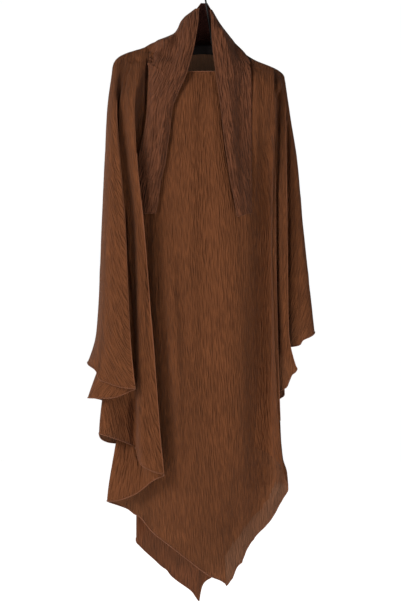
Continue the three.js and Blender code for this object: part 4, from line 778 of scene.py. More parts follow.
# the bottoms of the narrow gaps beside the deep folds, on the one layer (u0 to u1) seen down there
GAP_BOTTOMS = [
    dict(side=1, u0=6.55, u1=9.45, x0=189.2, z0=-271.3, x1=190.4, z1=-301.3, w=7, d=9),
    dict(side=1, u0=6.55, u1=9.45, x0=192.9, z0=-296.3, x1=191.2, z1=-321.4, w=3.4, d=-11),
    dict(side=1, u0=6.55, u1=9.45, x0=191.2, z0=-321.4, x1=187.9, z1=-421.6, w=3.4, d=-11),
    dict(side=1, u0=6.55, u1=9.45, x0=187.9, z0=-421.6, x1=183.9, z1=-571.9, w=3.4, d=-11),
    dict(side=1, u0=6.55, u1=9.45, x0=183.9, z0=-571.9, x1=183.7, z1=-822.5, w=3.4, d=-11),
    dict(side=1, u0=6.55, u1=9.45, x0=183.7, z0=-822.5, x1=187.9, z1=-952.8, w=3.4, d=-11),
    dict(side=1, u0=9.55, u1=12.2, x0=214.0, z0=-384.0, x1=215.0, z1=-571.9, w=3.4, d=-10),
    dict(side=1, u0=9.55, u1=12.2, x0=215.0, z0=-571.9, x1=215.5, z1=-822.5, w=3.4, d=-10),
    dict(side=1, u0=9.55, u1=12.2, x0=215.5, z0=-822.5, x1=218.0, z1=-947.8, w=3.4, d=-10),
    dict(side=-1, u0=8.7, u1=10.5, x0=-172.9, z0=-1063.0, x1=-170.4, z1=-1110.6, w=9.0, d=-13),
    dict(side=-1, u0=8.7, u1=10.5, x0=-170.4, z0=-1110.6, x1=-168.4, z1=-1173.3, w=9.0, d=-13),
    dict(side=-1, u0=8.7, u1=10.5, x0=-168.4, z0=-1173.3, x1=-166.6, z1=-1205.8, w=9.0, d=-13),
    dict(side=-1, u0=4.6, u1=6.4, x0=-177.9, z0=-1183.3, x1=-169.1, z1=-1210.9, w=6.0, d=-10),
    dict(side=-1, u0=4.6, u1=6.4, x0=-169.1, z0=-1210.9, x1=-160.3, z1=-1238.4, w=6.0, d=-10),
    dict(side=-1, u0=1.6, u1=4.4, x0=-130.3, z0=-634.6, x1=-117.7, z1=-797.4, w=12, d=6),
    dict(side=-1, u0=1.6, u1=4.4, x0=-117.7, z0=-797.4, x1=-105.2, z1=-947.8, w=12, d=6),
    dict(side=-1, u0=1.6, u1=4.4, x0=-105.2, z0=-947.8, x1=-92.7, z1=-1098.1, w=12, d=6),
    dict(side=-1, u0=1.6, u1=4.4, x0=-92.7, z0=-1098.1, x1=-80.2, z1=-1223.4, w=12, d=6),
    dict(side=-1, u0=1.6, u1=4.4, x0=-97.7, z0=-647.1, x1=-87.7, z1=-772.4, w=22, d=8),
    dict(side=-1, u0=1.6, u1=4.4, x0=-87.7, z0=-772.4, x1=-77.7, z1=-897.7, w=22, d=8),
    dict(side=-1, u0=1.6, u1=4.4, x0=-77.7, z0=-897.7, x1=-65.1, z1=-1022.9, w=22, d=8),
    dict(side=-1, u0=1.6, u1=4.4, x0=-65.1, z0=-1022.9, x1=-52.6, z1=-1148.2, w=22, d=8),
    dict(side=-1, u0=1.6, u1=4.4, x0=-52.6, z0=-1148.2, x1=-42.6, z1=-1273.5, w=22, d=8),
    dict(side=-1, u0=8.5, u1=10.3, x0=-194.2, z0=-602.0, x1=-189.7, z1=-722.3, w=3.6, d=-12),
    dict(side=-1, u0=8.5, u1=10.3, x0=-189.7, z0=-722.3, x1=-180.4, z1=-822.5, w=3.6, d=-12),
    dict(side=-1, u0=8.5, u1=10.3, x0=-180.4, z0=-822.5, x1=-172.9, z1=-972.8, w=3.6, d=-12),
    dict(side=-1, u0=8.5, u1=10.3, x0=-172.9, z0=-972.8, x1=-169.1, z1=-1043.0, w=3.6, d=-12),
]
SHOULDER_CREASES = [
    dict(x0=-187.2, z0=-217.9, x1=-175.9, z1=-227.2, w=3.2, d=-4.6),
    dict(x0=-181, z0=-213.6, x1=-169.9, z1=-224.7, w=3.2, d=-4.6),
    dict(x0=-174.9, z0=-211.1, x1=-163.4, z1=-223.2, w=3.2, d=-4.6),
    dict(x0=-168.4, z0=-212.9, x1=-156.8, z1=-225.2, w=3.2, d=-4.4),
    dict(x0=-159.6, z0=-216.6, x1=-148.3, z1=-225.2, w=3, d=-3.6),
    dict(x0=-183.5, z0=-236.8, x1=-192.3, z1=-256.9, w=3.4, d=-4.4),
    dict(x0=-192.3, z0=-256.9, x1=-197.3, z1=-294.6, w=3.4, d=-4),
    dict(x0=-178.5, z0=-236.8, x1=-186, z1=-254.4, w=3, d=1.6),
    dict(x0=-187.2, z0=-269.4, x1=-182.2, z1=-395.1, w=6, d=2.2),
    dict(x0=39, z0=-234.2, x1=46.5, z1=-319.7, w=3.4, d=-7),
    dict(x0=46.5, z0=-319.7, x1=54.1, z1=-407.7, w=3.4, d=-8),
    dict(x0=54.1, z0=-407.7, x1=66.7, z1=-495.7, w=3.4, d=-8),
    dict(x0=66.7, z0=-495.7, x1=81.7, z1=-581.2, w=3.4, d=-8),
    dict(x0=81.7, z0=-581.2, x1=90.5, z1=-606.3, w=3.4, d=-6),
    dict(x0=-137.7, z0=-224.2, x1=-139.7, z1=-269.4, w=3, d=-12),
    dict(x0=-139.7, z0=-269.4, x1=-142.3, z1=-339.8, w=3, d=-12),
    dict(x0=-142.3, z0=-339.8, x1=-151.8, z1=-420.3, w=3, d=-9),
    dict(x0=-153.3, z0=-420.3, x1=-157.1, z1=-508.3, w=3, d=-6),
    dict(x0=129.5, z0=-234.7, x1=145.8, z1=-244.8, w=3.2, d=-4.6),
    dict(x0=135.8, z0=-232.7, x1=148.4, z1=-239.3, w=3, d=2.6),
    dict(x0=120.7, z0=-269.4, x1=140.8, z1=-274.5, w=5, d=-3.2),
    dict(x0=133.3, z0=-254.4, x1=134, z1=-357.4, w=7, d=6),
    dict(x0=134, z0=-357.4, x1=134.8, z1=-470.5, w=7, d=6),
    dict(x0=134.8, z0=-470.5, x1=132, z1=-586.2, w=6, d=4),
    dict(x0=-138.2, z0=-186.5, x1=-137, z1=-201.6, w=6, d=-7),
    dict(x0=-143.3, z0=-215.4, x1=-134.5, z1=-221.7, w=5.5, d=-7),
    dict(x0=197.4, z0=-266.9, x1=193.6, z1=-307.1, w=2.4, d=-2.2),
    dict(x0=204.9, z0=-279.5, x1=207.4, z1=-349.9, w=2.4, d=2),
    dict(x0=188.6, z0=-307.1, x1=183.5, z1=-349.9, w=3, d=-2),
    dict(x0=163.4, z0=-279.5, x1=166, z1=-344.9, w=5, d=1.6),
    dict(x0=150.9, z0=-294.6, x1=153.4, z1=-370, w=5, d=-1.4),
]
FRONT_CREASES = [
    dict(x0=-17.5, z0=-311.8, x1=-37.4, z1=-822.5, w=16, d=2.2),
    dict(x0=27.4, z0=-299.4, x1=57.3, z1=-897.2, w=18, d=3),
    dict(x0=82.2, z0=-324.3, x1=107.1, z1=-822.5, w=14, d=-3),
    dict(x0=2.5, z0=-523.6, x1=-2.5, z1=-1171.3, w=16, d=-1.8),
    dict(x0=-32.4, z0=-822.5, x1=-17.5, z1=-1270.9, w=15, d=2),
    dict(x0=57.3, z0=-897.2, x1=72.2, z1=-1370.5, w=16, d=2),
    dict(x0=117.1, z0=-822.5, x1=127, z1=-1221.1, w=15, d=-3),
    dict(x0=-87.2, z0=-523.6, x1=-92.2, z1=-1121.4, w=12, d=-2.5),
    dict(x0=-62.3, z0=-673, x1=-52.3, z1=-1270.9, w=14, d=1.8),
    dict(x0=22.4, z0=-1121.4, x1=27.4, z1=-1470.2, w=14, d=-1.6),
    dict(x0=181.8, z0=-1226.1, x1=166.9, z1=-1320.7, w=75, d=-15),
    dict(x0=166.9, z0=-1320.7, x1=112.1, z1=-1440.3, w=68, d=-15),
    dict(x0=151.9, z0=-972, x1=161.9, z1=-1246, w=10, d=-1.8),
    dict(x0=12.4, z0=-1146.3, x1=12.4, z1=-1470.2, w=28, d=5.5),
    dict(x0=97.1, z0=-1246, x1=62.3, z1=-1460.2, w=28, d=-5),
    dict(x0=-32.4, z0=-289.4, x1=-62.3, z1=-374.1, w=7, d=1.6),
    dict(x0=-2.5, z0=-289.4, x1=-10, z1=-423.9, w=7, d=-1.6),
    dict(x0=22.4, z0=-289.4, x1=27.4, z1=-448.8, w=8, d=1.8),
    dict(x0=47.3, z0=-289.4, x1=72.2, z1=-399, w=7, d=-1.6),
    dict(x0=-42.4, z0=-423.9, x1=-12.5, z1=-473.7, w=5, d=-1),
    dict(x0=27.4, z0=-423.9, x1=-0, z1=-478.7, w=5, d=-1),
    dict(x0=-37.4, z0=-468.8, x1=-10, z1=-523.6, w=5, d=0.9),
    dict(x0=32.4, z0=-473.7, x1=2.5, z1=-528.6, w=5, d=0.9),
    dict(x0=-32.4, z0=-528.6, x1=-2.5, z1=-588.3, w=5, d=-0.8),
    dict(x0=37.3, z0=-523.6, x1=7.5, z1=-583.4, w=5, d=-0.8),
]
BACK_CREASES = [
    dict(x0=-60, z0=-260, x1=-80, z1=-800, w=22, d=-3),
    dict(x0=20, z0=-260, x1=40, z1=-900, w=24, d=3),
    dict(x0=-10, z0=-500, x1=-20, z1=-1300, w=20, d=2.5),
    dict(x0=60, z0=-400, x1=70, z1=-1200, w=16, d=-2.5),
    dict(x0=-60, z0=-700, x1=-70, z1=-1350, w=18, d=2.5),
]


def creases(P, table, weight):
    """Sum of the creases at each point, in millimetres."""
    out = np.zeros(P.shape[:2])
    X, Z = P[:, :, 0], P[:, :, 2]
    for c in table:
        z0, z1 = c["z0"], c["z1"]
        t = np.clip((z0 - Z) / (z0 - z1), -0.5, 1.5)
        tc = np.clip(t, 0, 1)
        xl = c["x0"] + (c["x1"] - c["x0"]) * tc + c.get("bow", 0.0) * np.sin(math.pi * tc)
        slope = (c["x1"] - c["x0"]) / (z0 - z1)
        d = (X - xl) / math.sqrt(1 + slope * slope)
        over = np.maximum(-t, t - 1) * (z0 - z1)
        fade = np.exp(-(np.maximum(over, 0) / (1.6 * c["w"])) ** 2) * np.clip(0.35 + 2.2 * np.minimum(tc, 1 - tc), 0, 1)
        out += c["d"] * bump_line(d, c["w"]) * fade
    return out * weight


def edge_fade(R, rows=6):
    f = np.clip(np.arange(R) / rows, 0, 1)
    return f[:, None]


# the four turned edges that show: places along the section, height below which each is crisp, bead radius
FOLD_EDGES = [
    dict(u0=-17.6, u1=-15.4, z=-322, reach=13, bead=1.35),
    dict(u0=-7.6, u1=-5.4, z=-455, reach=14, bead=1.45),
    dict(u0=3.4, u1=5.6, z=-300, reach=13, bead=1.1, pull=0.0, inset=5.5, lean=0.0, end=-1130),
    dict(u0=7.4, u1=9.6, z=-330, reach=11, bead=1.0, pull=0.3, inset=1.5),
]


def crisp_edge(P, U, e):
    """Draws the cloth of a fold out to its corner, so that the layer in front stays flat up to a crisp edge."""
    P = P.copy()
    sel = np.where((U[0] >= e["u0"] - 1.2) & (U[0] <= e["u1"]))[0]
    for r in range(P.shape[0]):
        Q = P[r, sel].copy()
        grow = min(max((e["z"] - Q[:, 2].mean()) / 60.0, 0.0), 1.0)
        if grow <= 0:
            continue
        inner = U[0][sel] >= e["u0"]
        j = int(np.where(inner, Q[:, 0], -1e9).argmax())
        s = np.concatenate([[0], np.cumsum(np.hypot(np.diff(Q[:, 0]), np.diff(Q[:, 1])))])
        t = (s[j] - s) / e["reach"]
        at = lambda k, c: float(np.interp(s[j] - k * e["reach"], s, Q[:, c]))
        run = max(at(1.0, 0) - at(1.5, 0), 2.0)
        slope = float(np.clip((at(1.0, 1) - at(1.5, 1)) / run, -0.5, 0.5))
        corner = (Q[j, 0], at(1.0, 1) + slope * (Q[j, 0] - at(1.0, 0)))
        w = grow * e.get("pull", 0.8) * np.sin(math.pi * np.clip(t, 0, 1))
        for c in (0, 1):
            P[r, sel, c] += w * (corner[c] - Q[:, c])
        level = Q[:, 2].mean()
        drawn_in = e.get("inset", 0.0) * min(max((-400 - level) / 300.0, 0.0), 1.0) * min(max((level + 1180) / 260.0, 0.0), 1.0)
        P[r, sel, 0] -= drawn_in * np.cos(math.pi / 2 * np.clip(np.where(t > 0, t / 1.4, t / 3.5), -1, 1)) ** 2
    return P


# ---------------------------------------------------------------- cape front
P, S, V, U = panel(FRONT_LEFT, FRONT_RIGHT, (HEM_FRONT_LEFT, HEM_FRONT_RIGHT), BACK_LEFT, BACK_RIGHT, 372, 258, 158, -0.2)
a = np.abs(U)
# the folds start below the shoulder and the cloth above them is smooth: heights between which they grow
hi = np.where(U < 0, np.interp(a, [3.4, 7.6, 9.8], [-300, -300, -278]), np.interp(a, [3, 5, 7.5], [-300, -300, -262]))
lo = np.where(U < 0, np.interp(a, [3.4, 7.6, 9.8], [-430, -430, -350]), np.interp(a, [3, 5, 7.5], [-345, -345, -322]))
w = np.clip((P[:, :, 2] - lo) / (hi - lo), 0, 1) * np.clip((a - 3.0) / 0.6, 0, 1)
P = relax(P, w * w * (3 - 2 * w), 8.5)
P = meet_on_shoulder(P)
P = share_troughs(P, TROUGHS)
for e in FOLD_EDGES:
    P = crisp_edge(P, U, e)
FRONT_AREA = surface_area(P)
N = normals(P)
N *= np.where(N[:, :, 1:2].mean() > 0, -1.0, 1.0)
on_left = U < 0
amp = np.where(on_left, np.interp(a, [0, 3.4, 4.2, 7, 10, 15, 19.5], [1, 1, 0.7, 0.5, 0.55, 0.4, 0.4]), np.interp(a, [0, 3.4, 4.2, 12.5], [1, 1, 0.6, 0.6]))
front_centre = np.clip((4.2 - a) / 0.7, 0, 1)
DISP = 0.17 * amp * crinkle(S, V, 9.0, 46.0, 21) + 0.4 * noise(S / 46.0, V / 150.0, 31) * amp
DISP += creases(P, FRONT_CREASES, front_centre) + creases(P, SHOULDER_CREASES, 1.0)
for c in GAP_BOTTOMS:
    where = np.clip((a - c["u0"]) / 0.2, 0, 1) * np.clip((c["u1"] - a) / 0.2, 0, 1) * (U * c["side"] > 0)
    DISP += creases(P, [c], where)
P_front = P + N * (DISP * edge_fade(P.shape[0], 4))[:, :, None]
U_front = U[0]
# the crinkles lean towards the middle over the chest, so the cloth's own grid leans too
lean = 22.0 * np.tanh((V - 470) / 90.0)
ref = int(P.shape[0] * 0.6)
along_fold = np.clip((a - 3.3) / 1.0, 0, 1)
S_uv = (S - lean * np.tanh(S / 70.0)) * (1 - along_fold) + (0.25 * S + 0.75 * S[ref]) * along_fold
front = sheet_object("cape_front_cloth", P_front, S_uv, V)
# faces of that single layer take the second material: the same dye painted lighter and greyer as painted light from
# behind, besides a larger translucent share that lets real light from behind come through
mid_x = (P_front[:-1, :-1, 0] + P_front[1:, 1:, 0]) / 2
mid_z = (P_front[:-1, :-1, 2] + P_front[1:, 1:, 2]) / 2
edge_z = np.interp(mid_x, [p["x"] for p in SINGLE_EDGE], [p["z"] for p in SINGLE_EDGE])
single_layer_painted_backlight = (mid_z < edge_z) & (mid_x > SINGLE_EDGE[0]["x"]) & (U[:-1, :-1] > 0) & (a[:-1, :-1] < 4.45)


def rim_path(P, U, e):
    """The line along which a fold turns: the corner of the front layer beside the outermost point of each row."""
    sel = np.where((U[0] >= e["u0"]) & (U[0] <= e["u1"]))[0]
    out = []
    for row in P[:, sel]:
        j = int(row[:, 0].argmax())
        near = row[max(j - 4, 0):j + 1]
        out.append(near[(0.8 * near[:, 0] - e.get("lean", 0.6) * near[:, 1]).argmax()])
    p = np.array(out)
    for _ in range(3):
        p[1:-1] = (p[:-2] + 2 * p[1:-1] + p[2:]) / 4
    return p[(p[:, 2] < e["z"]) & (p[:, 2] > e.get("end", -2000))]


# painted highlight: a thin bead of lighter crepe along each turned edge, not a hem of the cloth
rims = [tube_object("rim_%d" % k, rim_path(P_front, U, e), e["bead"], 6) for k, e in enumerate(FOLD_EDGES)]
fold_rims_painted_highlight = join_objects("fold_rims_painted_highlight", rims)

# ---------------------------------------------------------------- cape back
P, S, V, U = panel(BACK_LEFT, BACK_RIGHT, (HEM_BACK_LEFT, HEM_BACK_RIGHT), FRONT_LEFT, FRONT_RIGHT, 300, 300, 158, 0.2)
a = np.abs(U)
w = np.clip((P[:, :, 2] + 350) / 80.0, 0, 1) * np.clip((a - 1.2) / 0.6, 0, 1)
P = relax(P, w * w * (3 - 2 * w), 10.0)
P = meet_on_shoulder(P)
BACK_AREA = surface_area(P)
N = normals(P)
N *= np.where(N[:, :, 1:2].mean() < 0, -1.0, 1.0)
amp = np.interp(a, [0, 2, 4, 12.5], [1, 0.9, 0.7, 0.6])
DISP = 0.45 * amp * crinkle(S, V, 11.0, 52.0, 57) + 0.8 * noise(S / 46.0, V / 150.0, 67) * amp
DISP += creases(P, BACK_CREASES, np.clip((3.0 - a) / 0.7, 0, 1))
P_back = P + N * (DISP * edge_fade(P.shape[0], 4))[:, :, None]
back = sheet_object("cape_back_cloth", P_back, 0.35 * S + 0.65 * S[ref], V)

# ---------------------------------------------------------------- crown
CROWN = [
    dict(z=-75, left=-9, right=14, front=-5, back=7, edgeLeft=-7, edgeRight=12, edgeDepth=-5),
    dict(z=-85, left=-17, right=20, front=-9, back=11, edgeLeft=-14, edgeRight=17, edgeDepth=-9),
    dict(z=-97, left=-34, right=27, front=-13, back=16, edgeLeft=-28, edgeRight=23, edgeDepth=-14),
    dict(z=-110, left=-50, right=34, front=-17, back=20, edgeLeft=-38, edgeRight=28, edgeDepth=-20),
    dict(z=-127, left=-61, right=45, front=-20, back=24, edgeLeft=-42, edgeRight=32, edgeDepth=-26),
    dict(z=-143, left=-67, right=58, front=-22, back=27, edgeLeft=-44, edgeRight=34, edgeDepth=-30),
    dict(z=-155, left=-87, right=67, front=-23, back=28, edgeLeft=-45, edgeRight=35, edgeDepth=-33),
    dict(z=-165, left=-113, right=76, front=-24, back=29, edgeLeft=-46, edgeRight=36, edgeDepth=-36),
    dict(z=-177, left=-137, right=87, front=-24, back=30, edgeLeft=-48, edgeRight=36, edgeDepth=-38),
    dict(z=-189, left=-148, right=98, front=-25, back=30, edgeLeft=-49, edgeRight=37, edgeDepth=-40),
    dict(z=-203, left=-152, right=109, front=-25, back=30, edgeLeft=-50, edgeRight=38, edgeDepth=-42),
    dict(z=-221, left=-152, right=117, front=-25, back=30, edgeLeft=-52, edgeRight=39, edgeDepth=-44),
]
CROWN_SEAM = [
    dict(at=0.00, z=-228),
    dict(at=0.07, z=-217),
    dict(at=0.14, z=-196),
    dict(at=0.20, z=-181),
    dict(at=0.24, z=-177),
    dict(at=0.32, z=-182),
    dict(at=0.50, z=-190),
    dict(at=0.66, z=-196),
    dict(at=0.76, z=-209),
    dict(at=0.86, z=-217),
    dict(at=1.00, z=-230),
]
crown_col = {k: smooth([r["z"] for r in CROWN], [r[k] for r in CROWN]) for k in ("left", "right", "front", "back", "edgeLeft", "edgeRight", "edgeDepth")}
crown_seam = smooth([r["at"] for r in CROWN_SEAM], [r["z"] for r in CROWN_SEAM])
CROWN_TOP = -71.0


def crown_point(t, z):
    c = {k: f(z) for k, f in crown_col.items()}
    mid = (c["front"] + c["back"]) / 2 * 0.3
    is_l = t < 0.5
    s = np.clip(np.where(is_l, t, 1 - t) / 0.24, 0, 1)
    out_x, in_x = np.where(is_l, c["left"], c["right"]), np.where(is_l, c["edgeLeft"], c["edgeRight"])
    a = s * math.pi / 2
    fx, fy = in_x + (out_x - in_x) * np.sin(a), mid + (c["edgeDepth"] - mid) * np.cos(a)
    b = np.clip((t - 0.24) / 0.52, 0, 1) * math.pi
    k = 0.5 - 0.5 * np.cos(b)
    bx, by = c["left"] + (c["right"] - c["left"]) * k, mid + (c["back"] - mid) * np.sin(b)
    side = (t < 0.24) | (t > 0.76)
    return np.where(side, fx, bx), np.where(side, fy, by)


CR, CC = 130, 260
tt = np.linspace(0, 1, CC)[None, :].repeat(CR, 0)
zb = crown_seam(tt) - 1.5
zz = CROWN_TOP + (zb - CROWN_TOP) * (np.linspace(0, 1, CR)[:, None] ** 0.9)
cx, cy = crown_point(tt, zz)
P = np.stack([cx, cy, zz], -1)
step = np.linalg.norm(np.diff(P, axis=1), axis=2)
S = np.concatenate([np.zeros((CR, 1)), np.cumsum(step, 1)], 1)
V = -zz
N = normals(P)
# outward, away from the crown's own axis
axis = np.stack([0.5 * (crown_col["left"](zz) + crown_col["right"](zz)), np.zeros_like(zz), zz], -1)
N *= np.where(((P - axis) * N).sum(-1).mean() < 0, -1.0, 1.0)
puff = np.zeros_like(zz)
# soft puffs and hollows beside the band. One row for each: where on the ring, height, sizes, how far out
CROWN_PUFFS = [
    dict(at=0.100, z=-150, w=0.050, h=16, d=4),
    dict(at=0.160, z=-120, w=0.050, h=14, d=3),
    dict(at=0.120, z=-180, w=0.050, h=8, d=-3),
    dict(at=0.050, z=-140, w=0.030, h=22, d=-3),
    dict(at=0.900, z=-150, w=0.040, h=24, d=3),
    dict(at=0.940, z=-190, w=0.030, h=16, d=-2.5),
    dict(at=0.860, z=-120, w=0.040, h=14, d=-2),
]
for c in CROWN_PUFFS:
    puff += c["d"] * np.exp(-((tt - c["at"]) / c["w"]) ** 2 - ((zz - c["z"]) / c["h"]) ** 2)
inside_fade = np.clip(np.minimum(tt, 1 - tt) / 0.02, 0, 1)
puff = puff * inside_fade + 0.35 * crinkle(S, V, 8.0, 30.0, 91)
tuck_in = np.where((tt < 0.27) | (tt > 0.73), 2.2, 0.6) * np.clip((zz - zz.min(0)) / 14.0, 0, 1)
P_crown = P + N * (0.3 * puff - tuck_in)[:, :, None]
crown = sheet_object("crown_cloth", P_crown, S, V)
# painted shade: a second skin just inside the crown, nearly black, for the shade inside the hood
crown_inside_painted_shade = sheet_object("crown_inside_painted_shade", P_crown - N * 0.8, S, V)
CROWN_AREA = surface_area(P)

# ---------------------------------------------------------------- hood front and ties
# Each side of the hood's front runs on into its tie as one length of cloth. Six lines run down it.
# edge: the free inner edge. middle, fold, puff: over the band and the cloth beside it. side: the
# outline and then the tie's outer edge. One row for each height: x and depth y of the five lines.
HOOD_LEFT = [
    dict(z=-82, edge=(-7.5, -12.0), middle=(-8.8, -11.0), fold=(-10.5, -9.0), puff=(-12.0, -5.0), side=(-13.5, 0.0)),
    dict(z=-95, edge=(-11.0, -19.0), middle=(-14.5, -18.0), fold=(-21.0, -15.0), puff=(-26.0, -8.0), side=(-31.3, 0.8)),
    dict(z=-106, edge=(-11.5, -28.0), middle=(-20.0, -28.0), fold=(-33.0, -21.0), puff=(-40.0, -11.0), side=(-45.9, 1.7)),
    dict(z=-120, edge=(-12.0, -36.0), middle=(-27.0, -37.0), fold=(-45.0, -26.0), puff=(-50.5, -14.0), side=(-57.3, 2.7)),
    dict(z=-135, edge=(-13.8, -38.4), middle=(-32.5, -42.4), fold=(-53.0, -31.0), puff=(-58.0, -18.0), side=(-63.7, 3.0)),
    dict(z=-148, edge=(-16.0, -40.0), middle=(-36.0, -46.0), fold=(-59.0, -35.0), puff=(-66.0, -23.0), side=(-73.1, 2.8)),
    dict(z=-158, edge=(-17.5, -41.7), middle=(-37.9, -48.4), fold=(-61.5, -36.8), puff=(-77.0, -31.0), side=(-94.5, 1.6)),
    dict(z=-166, edge=(-18.7, -43.2), middle=(-39.1, -50.0), fold=(-63.0, -38.0), puff=(-88.0, -38.0), side=(-114.7, -0.4)),
    dict(z=-174, edge=(-20.0, -44.8), middle=(-40.2, -51.6), fold=(-64.3, -39.2), puff=(-94.9, -45.0), side=(-123.3, -6.4)),
    dict(z=-183, edge=(-21.6, -46.6), middle=(-41.6, -53.5), fold=(-65.7, -40.6), puff=(-98.5, -47.9), side=(-127.4, -15.1)),
    dict(z=-193, edge=(-23.7, -48.7), middle=(-43.6, -56.0), fold=(-67.4, -42.7), puff=(-100.4, -47.5), side=(-130.2, -23.2)),
    dict(z=-205, edge=(-26.6, -51.4), middle=(-46.1, -59.2), fold=(-70.0, -46.0), puff=(-102.1, -45.5), side=(-132.3, -31.2)),
    dict(z=-217, edge=(-29.7, -54.2), middle=(-48.9, -62.4), fold=(-74.3, -52.0), puff=(-105.9, -47.3), side=(-134.2, -36.9)),
    dict(z=-229, edge=(-33.0, -57.0), middle=(-52.0, -65.0), fold=(-79.0, -58.0), puff=(-109.8, -54.8), side=(-136.0, -43.0)),
    dict(z=-245, edge=(-37.3, -61.3), middle=(-57.0, -67.9), fold=(-83.6, -63.0), puff=(-112.3, -60.0), side=(-135.0, -47.0)),
    dict(z=-262, edge=(-42.7, -64.1), middle=(-63.0, -70.0), fold=(-88.0, -66.5), puff=(-114.0, -62.0), side=(-134.5, -49.0)),
    dict(z=-300, edge=(-60.0, -65.0), middle=(-77.0, -72.0), fold=(-98.0, -70.0), puff=(-119.0, -66.0), side=(-135.5, -53.0)),
    dict(z=-348, edge=(-77.0, -64.5), middle=(-91.0, -73.0), fold=(-107.0, -71.5), puff=(-124.0, -69.0), side=(-138.5, -57.0)),
    dict(z=-397, edge=(-82.5, -63.5), middle=(-97.0, -72.5), fold=(-114.0, -70.5), puff=(-131.0, -68.0), side=(-144.5, -59.0)),
    dict(z=-435, edge=(-88.0, -62.5), middle=(-103.0, -71.0), fold=(-121.0, -68.0), puff=(-139.0, -64.0), side=(-154.0, -56.0)),
    dict(z=-480, edge=(-94.0, -61.0), middle=(-109.0, -69.0), fold=(-127.0, -65.5), puff=(-145.0, -60.0), side=(-163.0, -53.0)),
    dict(z=-523, edge=(-105.0, -60.0), middle=(-119.0, -66.0), fold=(-135.0, -63.0), puff=(-151.0, -60.0), side=(-166.0, -54.0)),
    dict(z=-572, edge=(-112.0, -59.5), middle=(-125.0, -64.0), fold=(-140.0, -64.0), puff=(-154.0, -60.0), side=(-168.0, -55.0)),
    dict(z=-606, edge=(-118.0, -58.5), middle=(-130.0, -62.0), fold=(-143.0, -63.0), puff=(-156.0, -60.0), side=(-169.0, -55.0)),
]
HOOD_RIGHT = [
    dict(z=-82, edge=(13.5, -12.0), middle=(14.5, -11.0), fold=(15.5, -10.0), puff=(16.5, -6.0), side=(17.5, 0.0)),
    dict(z=-95, edge=(18.3, -18.4), middle=(20.4, -19.1), fold=(22.5, -15.6), puff=(24.7, -8.3), side=(25.8, 0.9)),
    dict(z=-106, edge=(20.3, -25.2), middle=(23.7, -26.2), fold=(27.6, -21.5), puff=(31.1, -11.4), side=(31.8, 1.7)),
    dict(z=-120, edge=(21.2, -32.8), middle=(26.8, -34.3), fold=(33.7, -28.7), puff=(38.7, -15.7), side=(40.2, 2.7)),
    dict(z=-135, edge=(21.5, -38.0), middle=(30.0, -41.0), fold=(40.5, -35.0), puff=(47.0, -20.0), side=(51.4, 2.6)),
    dict(z=-148, edge=(22.0, -40.2), middle=(32.6, -44.4), fold=(47.0, -41.3), puff=(55.7, -24.2), side=(61.7, 1.6)),
    dict(z=-158, edge=(22.4, -41.7), middle=(34.6, -46.6), fold=(51.5, -43.7), puff=(62.3, -26.0), side=(69.6, 0.7)),
    dict(z=-166, edge=(22.8, -43.1), middle=(36.2, -48.2), fold=(54.9, -45.2), puff=(67.7, -27.1), side=(76.9, -0.1)),
    dict(z=-174, edge=(23.3, -44.7), middle=(37.8, -49.8), fold=(58.4, -46.2), puff=(73.1, -28.2), side=(84.2, -1.4)),
    dict(z=-183, edge=(23.9, -46.6), middle=(39.6, -51.6), fold=(61.3, -47.5), puff=(78.9, -29.3), side=(92.7, -3.7)),
    dict(z=-193, edge=(24.7, -48.7), middle=(41.6, -53.8), fold=(63.5, -49.8), puff=(84.8, -30.4), side=(101.1, -7.9)),
    dict(z=-205, edge=(26.0, -51.2), middle=(44.0, -56.7), fold=(66.0, -53.0), puff=(91.0, -33.2), side=(109.3, -15.3)),
    dict(z=-217, edge=(27.5, -54.0), middle=(46.4, -59.7), fold=(69.3, -56.3), puff=(95.8, -38.4), side=(115.8, -23.9)),
    dict(z=-229, edge=(29.0, -57.0), middle=(49.0, -63.0), fold=(73.0, -60.0), puff=(99.0, -45.0), side=(118.0, -35.0)),
    dict(z=-245, edge=(31.0, -62.2), middle=(53.4, -68.4), fold=(79.6, -66.9), puff=(100.8, -51.4), side=(118.5, -43.0)),
    dict(z=-262, edge=(33.3, -67.5), middle=(57.3, -73.4), fold=(83.2, -68.7), puff=(101.0, -56.4), side=(119.0, -47.0)),
    dict(z=-300, edge=(38.6, -76.4), middle=(61.9, -80.2), fold=(84.0, -69.8), puff=(101.0, -58.8), side=(119.5, -49.5)),
    dict(z=-348, edge=(45.1, -82.6), middle=(67.2, -82.4), fold=(84.5, -70.6), puff=(100.3, -60.2), side=(119.9, -51.3)),
    dict(z=-397, edge=(50.5, -85.3), middle=(70.8, -84.4), fold=(85.8, -71.8), puff=(100.3, -62.2), side=(120.0, -53.2)),
    dict(z=-435, edge=(54.7, -86.0), middle=(73.5, -86.2), fold=(87.2, -73.2), puff=(101.1, -64.4), side=(120.0, -55.3)),
    dict(z=-480, edge=(61.7, -86.0), middle=(79.4, -88.0), fold=(90.6, -75.7), puff=(102.8, -69.4), side=(120.0, -59.5)),
    dict(z=-523, edge=(68.0, -86.0), middle=(83.7, -88.0), fold=(94.7, -78.4), puff=(105.6, -74.8), side=(120.0, -63.8)),
    dict(z=-572, edge=(78.0, -85.0), middle=(90.0, -87.0), fold=(100.0, -80.0), puff=(109.0, -78.5), side=(120.0, -68.7)),
    dict(z=-615, edge=(86.0, -84.0), middle=(96.0, -86.0), fold=(104.0, -80.0), puff=(111.0, -78.5), side=(120.0, -73.1)),
]
